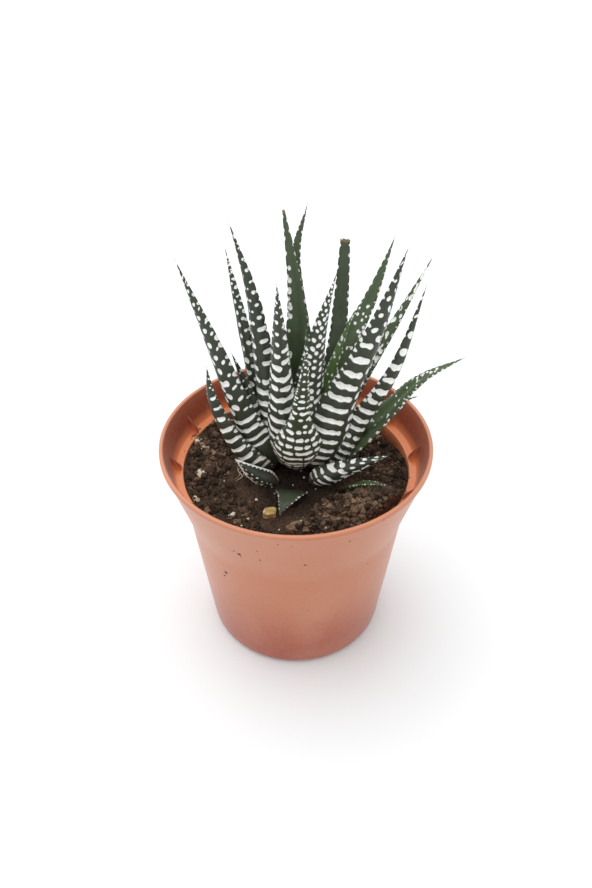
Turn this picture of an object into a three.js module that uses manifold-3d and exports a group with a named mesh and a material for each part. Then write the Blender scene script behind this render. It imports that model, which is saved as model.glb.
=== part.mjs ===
// A zebra haworthia in a small round nursery pot, in millimetres, +Z up.
// The origin is the centre of the pot's underside; +Y points to the back of the plant.
import * as THREE from "three";
import { mergeVertices } from "three/addons/utils/BufferGeometryUtils.js";
import Module from "manifold-3d";

const wasm = await Module();
wasm.setup();

// ---- Driving dimensions ----
const POT_HEIGHT = 75;
const RIM_RADIUS = 42.5;          // outside, at the lip
const WALL = 1.2;                 // moulded wall thickness
const COLLAR_DROP = 21.7;         // rim to the collar's lower edge
const COLLAR_FOOT_RADIUS = 36.1;  // outside, at the collar's lower edge
const COLLAR_STEP = 0.5;          // the wall is this much smaller below the collar
const BASE_RADIUS = 29.3;         // outside, just above the rounded foot
const FOOT_ROUND = 2.8;
const LEDGE_DROP = 10.5;          // rim to the stacking ledge inside the collar
const LEDGE_INNER_RADIUS = 35.9;
const BASE_THICKNESS = 1.4;
const LIP_ROUND = 0.4;
const RIB_COUNT = 12;             // gusset ribs standing on the ledge
const RIB_START = 4;              // degrees
const RIB_HEIGHT = 5.4;
const RIB_THICKNESS = 0.9;
const DRAIN_COUNT = 6;
const DRAIN_RADIUS = 3;
const DRAIN_CIRCLE = 19;
const SOIL_LEVEL = POT_HEIGHT - LEDGE_DROP;
const GAP = 0.32;                 // clearance between touching pieces
const POT_SIDES = 64;
const SOIL_SIDES = 40;
const LEAF_SIDES = 10;
const LEAF_RINGS = 12;

const finishes = {
  pot: new THREE.MeshStandardMaterial({ color: 0xc4684a, roughness: 0.45 }),
  soil: new THREE.MeshStandardMaterial({ color: 0x3a281f, roughness: 0.95 }),
  peat: new THREE.MeshStandardMaterial({ color: 0x5b3d28, roughness: 0.95 }),
  leaf: new THREE.MeshStandardMaterial({ color: 0x34503a, roughness: 0.5 }),
  stem: new THREE.MeshStandardMaterial({ color: 0x8f8a62, roughness: 0.7 }),
  root: new THREE.MeshStandardMaterial({ color: 0xc9b48f, roughness: 0.8 }),
  bark: new THREE.MeshStandardMaterial({ color: 0x7a5334, roughness: 0.9 }),
  pebble: new THREE.MeshStandardMaterial({ color: 0xb08a4a, roughness: 0.8 }),
  perlite: new THREE.MeshStandardMaterial({ color: 0xd8d0be, roughness: 0.9 }),
};

// ---- Leaves ----
// name, seat, width, clasp, keel, fullness, blunt, and the middle line from root to tip.
// seat: compass bearing in degrees that the banded outer face looks to (0 is +X, 90 is +Y).
// width: widest, in mm. clasp: share of the width that belongs to the swollen base.
// keel: depth of the outer face as a share of the width. fullness: how far along the leaf
// stays wide. blunt: share of the length broken off.
// The line's heights are above the soil level. Inner leaves come first.
const LEAVES = [
  ["leaf_left_tall", 245, 12, 0.2, 0.42, 1.6, 0,
    [[-4, 1, 4.5], [-8.5, 1, 34.5], [-12, 1, 61], [-17.5, 0, 83.5]]],
  ["leaf_centre_slim", 265, 11.5, 0.15, 0.42, 1.6, 0,
    [[-2, -4, 3.5], [-4, -5, 29.5], [-4.5, -8, 53], [-5, -10, 71]]],
  ["leaf_centre_dotted", 280, 13.5, 0.15, 0.42, 1.6, 0,
    [[2, 0, 5.5], [3.5, -2, 31], [6, -5, 51.5], [10.5, -8, 72.5]]],
  ["leaf_young_right", 60, 8, 0.15, 0.35, 1.6, 0, [[3, 3, 6], [8, 5, 22], [12, 8, 36], [17, 11, 50]]],
  ["leaf_young_centre", 110, 7, 0.15, 0.35, 1.6, 0, [[0, 4, 6], [2, 7, 20], [3, 9, 32], [3, 12, 44]]],
  ["leaf_back_tall", 95, 12.5, 0.15, 0.35, 1.6, 0.07,
    [[0, 7, 4], [0.5, 12, 30.5], [0, 18, 51.5], [-3.5, 24, 74.5]]],
  ["leaf_back_broken", 80, 8, 0.15, 0.35, 1.6, 0.34,
    [[5, 7, 3.5], [11.5, 12, 28.5], [13.5, 20, 46.5], [14.5, 26, 64.5]]],
  ["leaf_right_banded", 280, 17, 0.2, 0.4, 1.6, 0,
    [[4, -3, 3], [12.5, -3, 27.5], [21.5, -6, 53.5], [28.5, -8, 80]]],
  ["leaf_right_channelled", 50, 12, 0.15, 0.35, 1.6, 0,
    [[7, 5, 2.5], [14, 12, 33], [22.5, 19, 50], [29, 24, 67.5]]],
  ["leaf_right_far", 35, 10.5, 0.15, 0.35, 1.6, 0,
    [[8, 3, 2.5], [17.5, 9, 23], [28.5, 12, 43.5], [39.5, 15, 66.5]]],
  ["leaf_back_curved", 80, 9, 0.15, 0.35, 1.6, 0,
    [[1, 9, 2], [2, 17, 32.5], [-0.2, 25, 58.5], [3.5, 30, 75]]],
  ["leaf_left_second", 220, 11, 0.15, 0.42, 1.6, 0,
    [[-5, 4, 3], [-11, 5, 28], [-16, 6, 55], [-19.5, 8, 72]]],
  ["leaf_right_outer", 290, 13.5, 0.2, 0.4, 1.6, 0,
    [[8, -2, 1.5], [18.5, 1, 17], [28.5, -2, 39], [35, -4, 67.5]]],
  ["leaf_front", 270, 15.5, 0.5, 0.32, 1.6, 0, [[0, -5, 3], [1, -12, 26.5], [2, -19, 45], [3, -25, 62]]],
  ["leaf_left_outer", 245, 14, 0.15, 0.4, 1.6, 0,
    [[-7, 0, 1], [-15, -1, 20], [-23.5, -4, 50], [-31.5, -6, 76]]],
  ["leaf_left_third", 235, 11, 0.15, 0.42, 1.6, 0,
    [[-7, 3, 2], [-12, 2, 18.5], [-15, 3, 29.5], [-19, 3, 41]]],
  ["leaf_left_short", 245, 11, 0.15, 0.4, 1.6, 0,
    [[-8, -3, 0.5], [-18, -4, 13], [-24, -5, 29], [-25.5, -5, 41.5]]],
  ["leaf_right_low", 15, 12, 0.15, 0.35, 1.6, 0, [[11, 1, 1], [27.5, 3, 19], [37, 3, 31], [50, 2, 40]]],
  ["leaf_right_spur", 20, 4.5, 0.1, 0.4, 1.6, 0,
    [[14, 6, 2], [27.5, 8, 11], [32.5, 8.5, 18], [39, 8, 21.5]]],
  ["leaf_back_left", 125, 11, 0.15, 0.42, 1.6, 0,
    [[-4, 8, 1.5], [-9, 17, 14], [-13, 25, 24], [-17, 31, 32]]],
  ["leaf_back_right", 60, 11, 0.15, 0.42, 1.6, 0, [[5, 9, 1], [11, 19, 13], [16, 28, 24], [20, 34, 33]]],
  ["leaf_back_low", 95, 10, 0.15, 0.42, 1.6, 0, [[0, 10, 0.5], [0, 20, 8], [-1, 29, 16], [-2, 36, 25]]],
  ["leaf_left_back", 150, 9, 0.15, 0.42, 1.6, 0, [[-8, 6, 1], [-14, 12, 7], [-19, 17, 14], [-21, 21, 22]]],
  ["leaf_right_back", 20, 8.5, 0.15, 0.42, 1.6, 0, [[10, 6, 0.5], [18, 13, 5], [25, 17, 9], [30, 20, 13]]],
  ["leaf_old_left", 285, 7, 0, 0.4, 2.6, 0,
    [[-5.5, -9, -0.4], [-9.5, -9.5, 2.6], [-14, -10, 6.3], [-18.5, -10, 11]]],
  ["leaf_old_right", 255, 9, 0, 0.4, 1.9, 0,
    [[4.5, -9.5, 1.2], [9, -10.8, 5], [18, -12, 10.2], [28, -12, 14]]],
  ["leaf_old_front", 262, 10.5, 0.1, 0.3, 1.6, 0,
    [[-1.2, -13, 0.6], [-2, -17.6, 3.4], [-3.5, -22, 3.8], [-5, -25, 2]]],
  ["leaf_old_hidden", 300, 5, 0.1, 0.4, 1.6, 0,
    [[13, -12.3, 1.0], [18.5, -13.4, 4.0], [23, -14.0, 4.8], [28.2, -14.6, 4.2]]],
];

// ---- Shape helpers ----

// A closed geometry with shared vertices and outward faces, from any three.js geometry.
function closed(geometry) {
  geometry.deleteAttribute("normal");
  geometry.deleteAttribute("uv");
  const merged = mergeVertices(geometry, 1e-4);
  const at = merged.attributes.position;
  const index = merged.index.array;
  const [a, b, c] = [new THREE.Vector3(), new THREE.Vector3(), new THREE.Vector3()];
  let volume = 0;
  for (let i = 0; i < index.length; i += 3) {
    a.fromBufferAttribute(at, index[i]);
    b.fromBufferAttribute(at, index[i + 1]);
    c.fromBufferAttribute(at, index[i + 2]);
    volume += a.dot(b.cross(c));
  }
  if (volume < 0) {
    for (let i = 0; i < index.length; i += 3) {
      [index[i + 1], index[i + 2]] = [index[i + 2], index[i + 1]];
    }
  }
  return merged;
}

function solid(geometry) {
  const shape = closed(geometry);
  const mesh = new wasm.Mesh({
    numProp: 3,
    vertProperties: new Float32Array(shape.attributes.position.array),
    triVerts: new Uint32Array(shape.index.array),
  });
  const body = new wasm.Manifold(mesh);
  if (body.isEmpty()) throw new Error("a shape is open or empty");
  return body;
}

function toGeometry(manifold) {
  const mesh = manifold.getMesh();
  const geometry = new THREE.BufferGeometry();
  geometry.setAttribute("position", new THREE.BufferAttribute(new Float32Array(mesh.vertProperties), 3));
  geometry.setIndex(new THREE.BufferAttribute(new Uint32Array(mesh.triVerts), 1));
  return geometry;
}

// The largest piece of a solid, so that a cut leaves one body.
function largest(manifold) {
  const pieces = manifold.decompose();
  return pieces.reduce((best, piece) => (piece.volume() > best.volume() ? piece : best));
}

function lathe(points, sides) {
  const profile = points.map(([radius, height]) => new THREE.Vector2(radius, height));
  const geometry = new THREE.LatheGeometry(profile, sides);
  geometry.rotateX(Math.PI / 2);
  return geometry;
}

const radians = THREE.MathUtils.degToRad;

// ---- Pot ----

// Outside radius of the pot at a height above the floor.
function potOutside(z) {
  const collarFoot = POT_HEIGHT - COLLAR_DROP;
  if (z >= collarFoot) {
    return THREE.MathUtils.mapLinear(z, collarFoot, POT_HEIGHT, COLLAR_FOOT_RADIUS, RIM_RADIUS);
  }
  return THREE.MathUtils.mapLinear(z, FOOT_ROUND, collarFoot, BASE_RADIUS, COLLAR_FOOT_RADIUS - COLLAR_STEP);
}

// Inside radius of the pot below the ledge.
function potInside(z) {
  const collarFoot = POT_HEIGHT - COLLAR_DROP;
  const below = potOutside(Math.min(z, collarFoot - 0.01)) - WALL;
  if (z <= collarFoot) return below;
  return THREE.MathUtils.mapLinear(z, collarFoot, SOIL_LEVEL, below, LEDGE_INNER_RADIUS);
}

function makePot() {
  const collarFoot = POT_HEIGHT - COLLAR_DROP;
  const profile = [[0, 0]];
  for (let step = 0; step <= 3; step += 1) {
    const turn = (step / 3) * (Math.PI / 2);
    profile.push([
      BASE_RADIUS - FOOT_ROUND + FOOT_ROUND * Math.sin(turn),
      FOOT_ROUND - FOOT_ROUND * Math.cos(turn),
    ]);
  }
  profile.push([COLLAR_FOOT_RADIUS - COLLAR_STEP, collarFoot - 0.3]);
  profile.push([COLLAR_FOOT_RADIUS, collarFoot]);
  profile.push([RIM_RADIUS, POT_HEIGHT - LIP_ROUND]);
  profile.push([RIM_RADIUS - LIP_ROUND, POT_HEIGHT]);
  profile.push([RIM_RADIUS - WALL, POT_HEIGHT]);
  profile.push([potOutside(SOIL_LEVEL) - WALL, SOIL_LEVEL]);
  profile.push([LEDGE_INNER_RADIUS, SOIL_LEVEL]);
  profile.push([potInside(collarFoot), collarFoot]);
  profile.push([potInside(BASE_THICKNESS + 2), BASE_THICKNESS + 2]);
  profile.push([potInside(BASE_THICKNESS + 2) - 2, BASE_THICKNESS]);
  profile.push([0, BASE_THICKNESS]);
  let pot = solid(lathe(profile, POT_SIDES));

  // Triangular gusset ribs between the ledge and the collar.
  const wallAtLedge = potOutside(SOIL_LEVEL) - WALL;
  const wallAtTop = potOutside(SOIL_LEVEL + RIB_HEIGHT) - WALL;
  const side = new THREE.Shape([
    new THREE.Vector2(LEDGE_INNER_RADIUS + 0.3, SOIL_LEVEL - 0.3),
    new THREE.Vector2(wallAtLedge + 0.5, SOIL_LEVEL - 0.3),
    new THREE.Vector2(wallAtTop + 0.5, SOIL_LEVEL + RIB_HEIGHT),
    new THREE.Vector2(wallAtTop - 0.2, SOIL_LEVEL + RIB_HEIGHT),
    new THREE.Vector2(LEDGE_INNER_RADIUS + 0.3, SOIL_LEVEL + 0.8),
  ]);
  for (let i = 0; i < RIB_COUNT; i += 1) {
    const rib = new THREE.ExtrudeGeometry(side, { depth: RIB_THICKNESS, bevelEnabled: false });
    rib.translate(0, 0, -RIB_THICKNESS / 2);
    rib.rotateX(Math.PI / 2);
    rib.rotateZ(radians(RIB_START + (i * 360) / RIB_COUNT));
    pot = pot.add(solid(rib));
  }

  for (let i = 0; i < DRAIN_COUNT; i += 1) {
    const turn = radians(((i + 0.5) * 360) / DRAIN_COUNT);
    const drill = new THREE.CylinderGeometry(DRAIN_RADIUS, DRAIN_RADIUS, 4, 16);
    drill.rotateX(Math.PI / 2);
    drill.translate(DRAIN_CIRCLE * Math.cos(turn), DRAIN_CIRCLE * Math.sin(turn), BASE_THICKNESS / 2);
    pot = pot.subtract(solid(drill));
  }
  return pot;
}

// ---- Stem, roots and leaves ----

const STEM_RADIUS = 4.2;
const STEM_ABOVE = 5;    // above the soil level
const STEM_BELOW = 14;   // below the soil level

function makeStem(grow) {
  const profile = [
    [0, SOIL_LEVEL - STEM_BELOW - grow],
    [STEM_RADIUS - 1.4 + grow, SOIL_LEVEL - STEM_BELOW - grow],
    [STEM_RADIUS + grow, SOIL_LEVEL - STEM_BELOW + 3],
    [STEM_RADIUS - 0.4 + grow, SOIL_LEVEL],
    [STEM_RADIUS - 2 + grow, SOIL_LEVEL + STEM_ABOVE - 1.5],
    [0, SOIL_LEVEL + STEM_ABOVE + grow],
  ];
  return solid(lathe(profile, 12).translate(0, 1, 0));
}

// Width of a leaf along its length, as a share of its widest.
function leafTaper(along, clasp, fullness, blunt) {
  const s = along * (1 - blunt);
  const blade = Math.pow(Math.max(1 - Math.pow(s, fullness), 0), 1.15);
  const base = Math.exp(-Math.pow((s - 0.17) / 0.13, 2));
  const [rootShare, rootReach] = clasp ? [0.75, 0.14] : [0.3, 0.4];
  const narrowing = rootShare + (1 - rootShare) * Math.sin(Math.min(s / rootReach, 1) * Math.PI / 2);
  return ((1 - clasp) * blade + clasp * base) * narrowing;
}

// A leaf is a sphere's grid of points moved onto rings along the leaf's middle line.
// grow swells it all round, for the clearance that its neighbours leave.
function makeLeaf([, seat, width, clasp, keel, fullness, blunt, line], grow) {
  const points = line.map(([x, y, z]) => new THREE.Vector3(x, y, z + SOIL_LEVEL));
  const curve = new THREE.CatmullRomCurve3(points, false, "catmullrom", 0.5);
  const bearing = radians(seat);
  const sideways = new THREE.Vector3(-Math.sin(bearing), Math.cos(bearing), 0);
  const geometry = new THREE.SphereGeometry(1, LEAF_SIDES, LEAF_RINGS);
  const { position, uv } = geometry.attributes;
  for (let i = 0; i < position.count; i += 1) {
    // A broken leaf ends in a flat face: its last two rings share one place.
    const lastRing = blunt > 0 ? (LEAF_RINGS - 1) / LEAF_RINGS : 1;
    const along = Math.min((1 - uv.getY(i)) / lastRing, 1);
    const turn = uv.getX(i) * 2 * Math.PI;
    const atEnd = uv.getY(i) > 1 - 1e-6 || uv.getY(i) < 1e-6;
    const centre = curve.getPoint(along);
    const forward = curve.getTangent(along);
    const across = sideways.clone().addScaledVector(forward, -forward.dot(sideways)).normalize();
    const outward = across.clone().cross(forward);
    const size = width * leafTaper(along, clasp, fullness, blunt);
    const x = Math.cos(turn);
    const rise = 1 - Math.pow(Math.abs(x), 1.7 + clasp);
    const depth = Math.sin(turn) > 0 ? size * keel * rise + grow : -(size * 0.1 * rise + grow);
    if (atEnd) {
      centre.addScaledVector(forward, along < 0.5 ? -grow : grow);
    } else {
      centre.addScaledVector(across, x * (size / 2 + grow));
      centre.addScaledVector(outward, Math.abs(x) > 0.999 ? 0 : depth);
    }
    position.setXYZ(i, centre.x, centre.y, centre.z);
  }
  return solid(geometry);
}

// Fleshy roots: middle lines with heights above the soil level, from the stem outwards.
const ROOT_RADIUS = 1.5;
const ROOT_SIDES = 8;
const ROOTS = [
  ["root_front", [[0.5, -1.5, -10.5], [3, -12, -20], [2, -18, -33], [5, -20, -46]]],
  ["root_right", [[2.5, 1, -11], [13, 3, -18], [17, 5, -31], [16, 9, -44]]],
  ["root_back_right", [[1.5, 3, -10], [9, 13, -17], [10, 19, -30], [6, 21, -42]]],
  ["root_back_left", [[-1.5, 3, -11], [-9, 12, -19], [-13, 14, -33], [-12, 13, -48]]],
  ["root_left", [[-2.5, 1, -10], [-14, -2, -17], [-19, -4, -30], [-17, -8, -43]]],
];

function makeRoot(line, grow) {
  const points = line.map(([x, y, z]) => new THREE.Vector3(x, y, z + SOIL_LEVEL));
  const curve = new THREE.CatmullRomCurve3(points, false, "catmullrom", 0.5);
  const rim = [];
  for (let i = 0; i < ROOT_SIDES; i += 1) {
    const turn = (i / ROOT_SIDES) * 2 * Math.PI;
    rim.push(new THREE.Vector2(Math.cos(turn), Math.sin(turn)).multiplyScalar(ROOT_RADIUS + grow));
  }
  return solid(new THREE.ExtrudeGeometry(new THREE.Shape(rim), { steps: 10, extrudePath: curve }));
}

// ---- Soil and what lies on it ----

// Height of the soil's surface above the soil level: low hollows and heaps, each
// [x, y, radius, height] in mm.
const HEAPS = [
  [26, 14, 12, -4.5],
  [-22, 12, 10, 0.6],
  [-14, -20, 12, 1.0],
  [0, -2, 13, 1.0],
  [6, -29, 12, 1.0],
  [-27, -12, 9, -0.6],
];

function soilHeight(x, y) {
  let height = -0.6;
  for (const [hx, hy, radius, lift] of HEAPS) {
    height += lift * Math.exp(-((x - hx) ** 2 + (y - hy) ** 2) / radius ** 2);
  }
  return height;
}

function makeSoil() {
  const bottom = BASE_THICKNESS + GAP;
  const profile = [[0, bottom]];
  for (const z of [bottom, bottom + 2.2, POT_HEIGHT - COLLAR_DROP]) {
    const corner = z === bottom ? 2.2 : 0;
    profile.push([potInside(Math.max(z, BASE_THICKNESS + 2)) - corner - GAP - 0.1, z]);
  }
  const edge = LEDGE_INNER_RADIUS - GAP - 0.5;
  for (const share of [1, 0.86, 0.72, 0.58, 0.44, 0.3, 0.15, 0]) {
    profile.push([edge * share, SOIL_LEVEL]);
  }
  const geometry = lathe(profile, SOIL_SIDES);
  const at = geometry.attributes.position;
  for (let i = 0; i < at.count; i += 1) {
    if (Math.abs(at.getZ(i) - SOIL_LEVEL) < 0.01) {
      at.setZ(i, SOIL_LEVEL + soilHeight(at.getX(i), at.getY(i)));
    }
  }
  return solid(geometry);
}

// A lump with an uneven skin: [radius x, radius y, radius z], a turn and a place on the soil.
function makeLump({ size, turn, at, sides = 7 }, grow = 0) {
  const geometry = new THREE.SphereGeometry(1, sides, sides - 2);
  const { position } = geometry.attributes;
  const point = new THREE.Vector3();
  for (let i = 0; i < position.count; i += 1) {
    point.fromBufferAttribute(position, i);
    const bump = 1 + 0.1 * Math.sin(3 * point.x + 5 * point.y + turn) + 0.08 * Math.sin(6 * point.z + turn);
    point.multiplyScalar(bump);
    position.setXYZ(i, point.x * (size[0] + grow), point.y * (size[1] + grow), point.z * (size[2] + grow));
  }
  geometry.rotateZ(radians(turn));
  geometry.translate(at[0], at[1], SOIL_LEVEL + soilHeight(at[0], at[1]) + at[2]);
  return solid(geometry);
}

// The space inside the ledge, which the lumps keep to.
function makeRoom() {
  const radius = LEDGE_INNER_RADIUS - GAP - 0.5;
  const room = new THREE.CylinderGeometry(radius, radius, 40, SOIL_SIDES);
  return solid(room.rotateX(Math.PI / 2).translate(0, 0, SOIL_LEVEL));
}

// Heights in "at" are of the lump's centre above the soil's surface there.
const LUMPS = [
  { name: "peat_clump", finish: "peat", size: [14, 8, 4.5], turn: 20, at: [20, -21.5, 1.4], sides: 14 },
  { name: "bark_chip_front", finish: "bark", size: [4.2, 2.2, 1.1], turn: 5, at: [1.5, -29, 0.5], sides: 8 },
  { name: "bark_chip_right", finish: "bark", size: [1.9, 1.2, 0.8], turn: 40, at: [27, 9, 0.4] },
  { name: "pebble_ochre", finish: "pebble", size: [2.2, 1.7, 1.4], turn: 30, at: [-7.8, -23.4, 0.9], sides: 9 },
  { name: "pebble_beige", finish: "pebble", size: [2, 1.6, 2.4], turn: 60, at: [-12.5, 13, 2.2], sides: 9 },
  { name: "perlite_1", finish: "perlite", size: [1.3, 1, 0.9], turn: 10, at: [-32.3, 11.5, 0.5] },
  { name: "perlite_2", finish: "perlite", size: [1.7, 1.2, 1], turn: 75, at: [-29.6, 8, 0.5] },
  { name: "perlite_3", finish: "perlite", size: [1.9, 1.4, 1], turn: 120, at: [-29.9, -4.2, 0.5] },
  { name: "perlite_4", finish: "perlite", size: [1.3, 1, 0.8], turn: 160, at: [-30.6, -15.6, 0.4] },
  { name: "perlite_5", finish: "perlite", size: [0.9, 0.8, 0.7], turn: 30, at: [-19, -23.4, 0.4] },
];

// ---- Assembly ----

const plant = new THREE.Group();

function addPiece(name, finish, manifold) {
  const mesh = new THREE.Mesh(toGeometry(manifold), finishes[finish]);
  mesh.name = name;
  plant.add(mesh);
}

addPiece("pot", "pot", makePot());
addPiece("stem", "stem", makeStem(0));

// Each leaf is trimmed where an inner leaf already stands.
let taken = makeStem(GAP);
for (const leaf of LEAVES) {
  addPiece(leaf[0], "leaf", largest(makeLeaf(leaf, 0).subtract(taken)));
  taken = taken.add(makeLeaf(leaf, GAP));
}

for (const lump of LUMPS) {
  addPiece(lump.name, lump.finish, largest(makeLump(lump).intersect(makeRoom()).subtract(taken)));
  taken = taken.add(makeLump(lump, GAP));
}

for (const [name, line] of ROOTS) {
  addPiece(name, "root", largest(makeRoot(line, 0).subtract(taken)));
  taken = taken.add(makeRoot(line, GAP));
}

addPiece("soil", "soil", largest(makeSoil().subtract(taken)));

export default plant;
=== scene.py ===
"""A zebra haworthia in a small nursery pot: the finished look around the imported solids."""
import math
import random
from collections import namedtuple

import bpy
import bmesh
import numpy as np
from mathutils import Matrix, Vector, noise
from mathutils.bvhtree import BVHTree


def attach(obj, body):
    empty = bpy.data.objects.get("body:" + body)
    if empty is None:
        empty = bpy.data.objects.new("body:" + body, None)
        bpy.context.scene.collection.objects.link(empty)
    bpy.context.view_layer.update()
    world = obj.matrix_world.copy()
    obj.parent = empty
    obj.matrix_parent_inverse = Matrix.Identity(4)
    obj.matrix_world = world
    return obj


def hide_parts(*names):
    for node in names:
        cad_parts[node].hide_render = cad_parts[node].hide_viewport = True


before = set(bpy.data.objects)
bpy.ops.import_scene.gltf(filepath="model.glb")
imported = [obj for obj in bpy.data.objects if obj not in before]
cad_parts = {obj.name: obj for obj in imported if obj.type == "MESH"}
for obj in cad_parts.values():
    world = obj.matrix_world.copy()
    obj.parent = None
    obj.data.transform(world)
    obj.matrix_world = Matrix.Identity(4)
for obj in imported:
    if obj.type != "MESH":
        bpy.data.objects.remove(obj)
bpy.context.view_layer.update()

MM = 0.001
scene = bpy.context.scene


# ---- Camera ----

LOOK_DOWN = 39.8         # degrees below level
CAMERA_REACH = 266.0     # mm from the middle of the rim
LENS = 34.46             # mm, on a sensor 36 mm wide
RIM_CENTRE = Vector((0.0, 0.0, 72.9))


def make_camera():
    tilt = math.radians(LOOK_DOWN)
    camera = bpy.data.objects.new("camera", bpy.data.cameras.new("camera"))
    camera.data.lens = LENS
    camera.data.sensor_width = 36.0
    camera.data.clip_start = 0.01
    away = Vector((0.0, -math.cos(tilt), math.sin(tilt))) * CAMERA_REACH
    camera.location = (RIM_CENTRE + away) * MM
    camera.rotation_euler = (math.pi / 2 - tilt, 0.0, 0.0)
    scene.collection.objects.link(camera)
    scene.camera = camera


make_camera()


# ---- Driving sizes, in mm ----

POT_HEIGHT = 75.0
RIM_RADIUS = 42.5
WALL = 1.2
COLLAR_DROP = 21.7
COLLAR_FOOT_RADIUS = 36.1
COLLAR_STEP = 0.5
BASE_RADIUS = 29.3
FOOT_ROUND = 2.8
LEDGE_DROP = 10.5
LEDGE_INNER_RADIUS = 35.9
BASE_THICKNESS = 1.4
FOOT_RECESS = 0.45       # how far the middle of the underside stands clear of the table
RIB_COUNT = 12
RIB_START = 4.0
RIB_HEIGHT = 5.4
RIB_THICKNESS = 0.9
DRAIN_COUNT = 6
DRAIN_RADIUS = 3.0
DRAIN_CIRCLE = 19.0
GAP = 0.32
SOIL_LEVEL = POT_HEIGHT - LEDGE_DROP
COLLAR_FOOT = POT_HEIGHT - COLLAR_DROP


# ---- Mesh helpers ----

def mesh_object(name, points, quads, tris):
    """A smooth mesh object from points in mm, and arrays of four- and three-cornered faces."""
    mesh = bpy.data.meshes.new(name)
    quads = np.asarray(quads, np.int32).reshape(-1, 4)
    tris = np.asarray(tris, np.int32).reshape(-1, 3)
    mesh.vertices.add(len(points))
    mesh.vertices.foreach_set("co", (np.asarray(points) * MM).astype(np.float32).ravel())
    mesh.loops.add(quads.size + tris.size)
    mesh.loops.foreach_set("vertex_index", np.concatenate([quads.ravel(), tris.ravel()]))
    mesh.polygons.add(len(quads) + len(tris))
    starts = np.concatenate([np.arange(len(quads)) * 4, quads.size + np.arange(len(tris)) * 3])
    mesh.polygons.foreach_set("loop_start", starts.astype(np.int32))
    mesh.polygons.foreach_set("use_smooth", np.ones(len(starts), bool))
    mesh.update(calc_edges=True)
    mesh.validate()
    made = bpy.data.objects.new(name, mesh)
    scene.collection.objects.link(made)
    return made


def skin_faces(rings, sides):
    """Faces of a closed skin over rings of points, with a pole point after them at each end."""
    ring = np.arange(rings - 1)[:, None] * sides
    side = np.arange(sides)[None, :]
    following = (side + 1) % sides
    quads = np.stack([ring + side, ring + following, ring + sides + following, ring + sides + side], -1)
    first_pole, last_pole = rings * sides, rings * sides + 1
    last = (rings - 1) * sides
    side, following = side[0], following[0]
    start_fan = np.stack([np.full(sides, first_pole), following, side], -1)
    end_fan = np.stack([last + side, last + following, np.full(sides, last_pole)], -1)
    return quads.reshape(-1, 4), np.concatenate([start_fan, end_fan])


def skin(name, grid, first_pole, last_pole):
    """A closed object over a grid of points (rings, sides, 3) that is capped with two pole points."""
    rings, sides = grid.shape[:2]
    quads, tris = skin_faces(rings, sides)
    points = np.concatenate([grid.reshape(-1, 3), [first_pole, last_pole]])
    return mesh_object(name, points, quads, tris)


def grid_normals(grid):
    """Unit normals of a grid of rings whose sides run anticlockwise seen against the growth."""
    around = np.roll(grid, -1, 1) - np.roll(grid, 1, 1)
    onward = np.gradient(grid, axis=0)
    normal = np.cross(around, onward)
    return normal / np.maximum(np.linalg.norm(normal, axis=-1, keepdims=True), 1e-9)


def store(made, name, values):
    """Keeps a vector for each vertex, for the materials to read."""
    layer = made.data.attributes.new(name, "FLOAT_VECTOR", "POINT")
    layer.data.foreach_set("vector", np.asarray(values, np.float32).ravel())


def combine(made, others, operation):
    """Cuts closed objects out of a closed object, or joins them to it."""
    for other in others:
        modifier = made.modifiers.new("cut", "BOOLEAN")
        modifier.solver = "MANIFOLD"
        modifier.operation = operation
        modifier.object = other
    graph = bpy.context.evaluated_depsgraph_get()
    result = bpy.data.meshes.new_from_object(
        made.evaluated_get(graph), preserve_all_data_layers=True, depsgraph=graph)
    made.modifiers.clear()
    old = made.data
    made.data = result
    bpy.data.meshes.remove(old)
    result.name = made.name


def keep_largest(made):
    """Drops the loose bits that a cut has left, and keeps the largest piece."""
    shape = bmesh.new()
    shape.from_mesh(made.data)
    unseen = set(shape.verts)
    islands = []
    while unseen:
        island = [unseen.pop()]
        for vertex in island:
            for edge in vertex.link_edges:
                other = edge.other_vert(vertex)
                if other in unseen:
                    unseen.remove(other)
                    island.append(other)
        islands.append(island)
    islands.sort(key=len)
    for island in islands[:-1]:
        bmesh.ops.delete(shape, geom=island, context="VERTS")
    if len(islands) > 1:
        shape.to_mesh(made.data)
    shape.free()


def finish_piece(made, material, slot, *replaced):
    """Gives a piece its material, fixes it to the plant and hides the imported parts it stands for."""
    made.data.materials.clear()
    made.data.materials.append(material)
    made.data.polygons.foreach_set("material_index", np.zeros(len(made.data.polygons), np.int32))
    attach(made, "root")
    if replaced:
        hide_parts(*replaced)
    return made


def middle_line(line, along):
    """Places and directions on the smooth curve through a line's four points, from 0 to 1."""
    p = np.array(line, float)
    p = np.vstack([2 * p[0] - p[1], p, 2 * p[-1] - p[-2]])
    spans = len(line) - 1
    t = np.clip(along, 0, 1) * spans
    span = np.minimum(t.astype(int), spans - 1)
    w = (t - span)[:, None]
    a, b, c, d = p[span], p[span + 1], p[span + 2], p[span + 3]
    place = 0.5 * (2 * b + (c - a) * w + (2 * a - 5 * b + 4 * c - d) * w ** 2
                   + (3 * b - a - 3 * c + d) * w ** 3)
    way = 0.5 * ((c - a) + 2 * (2 * a - 5 * b + 4 * c - d) * w + 3 * (3 * b - a - 3 * c + d) * w ** 2)
    return place, way / np.linalg.norm(way, axis=1, keepdims=True)


def turned(outline, sides):
    """Rings of points about the pot's axis, one for each (radius, height) of an outline."""
    turn = np.arange(sides) / sides * 2 * np.pi
    return np.stack([outline[:, :1] * np.cos(turn), outline[:, :1] * np.sin(turn),
                     np.repeat(outline[:, 1:], sides, 1)], -1)


def rotated(points, angle):
    """Points turned about the upright axis by an angle in radians."""
    return np.stack([points[:, 0] * math.cos(angle) - points[:, 1] * math.sin(angle),
                     points[:, 0] * math.sin(angle) + points[:, 1] * math.cos(angle), points[:, 2]], -1)


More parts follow.
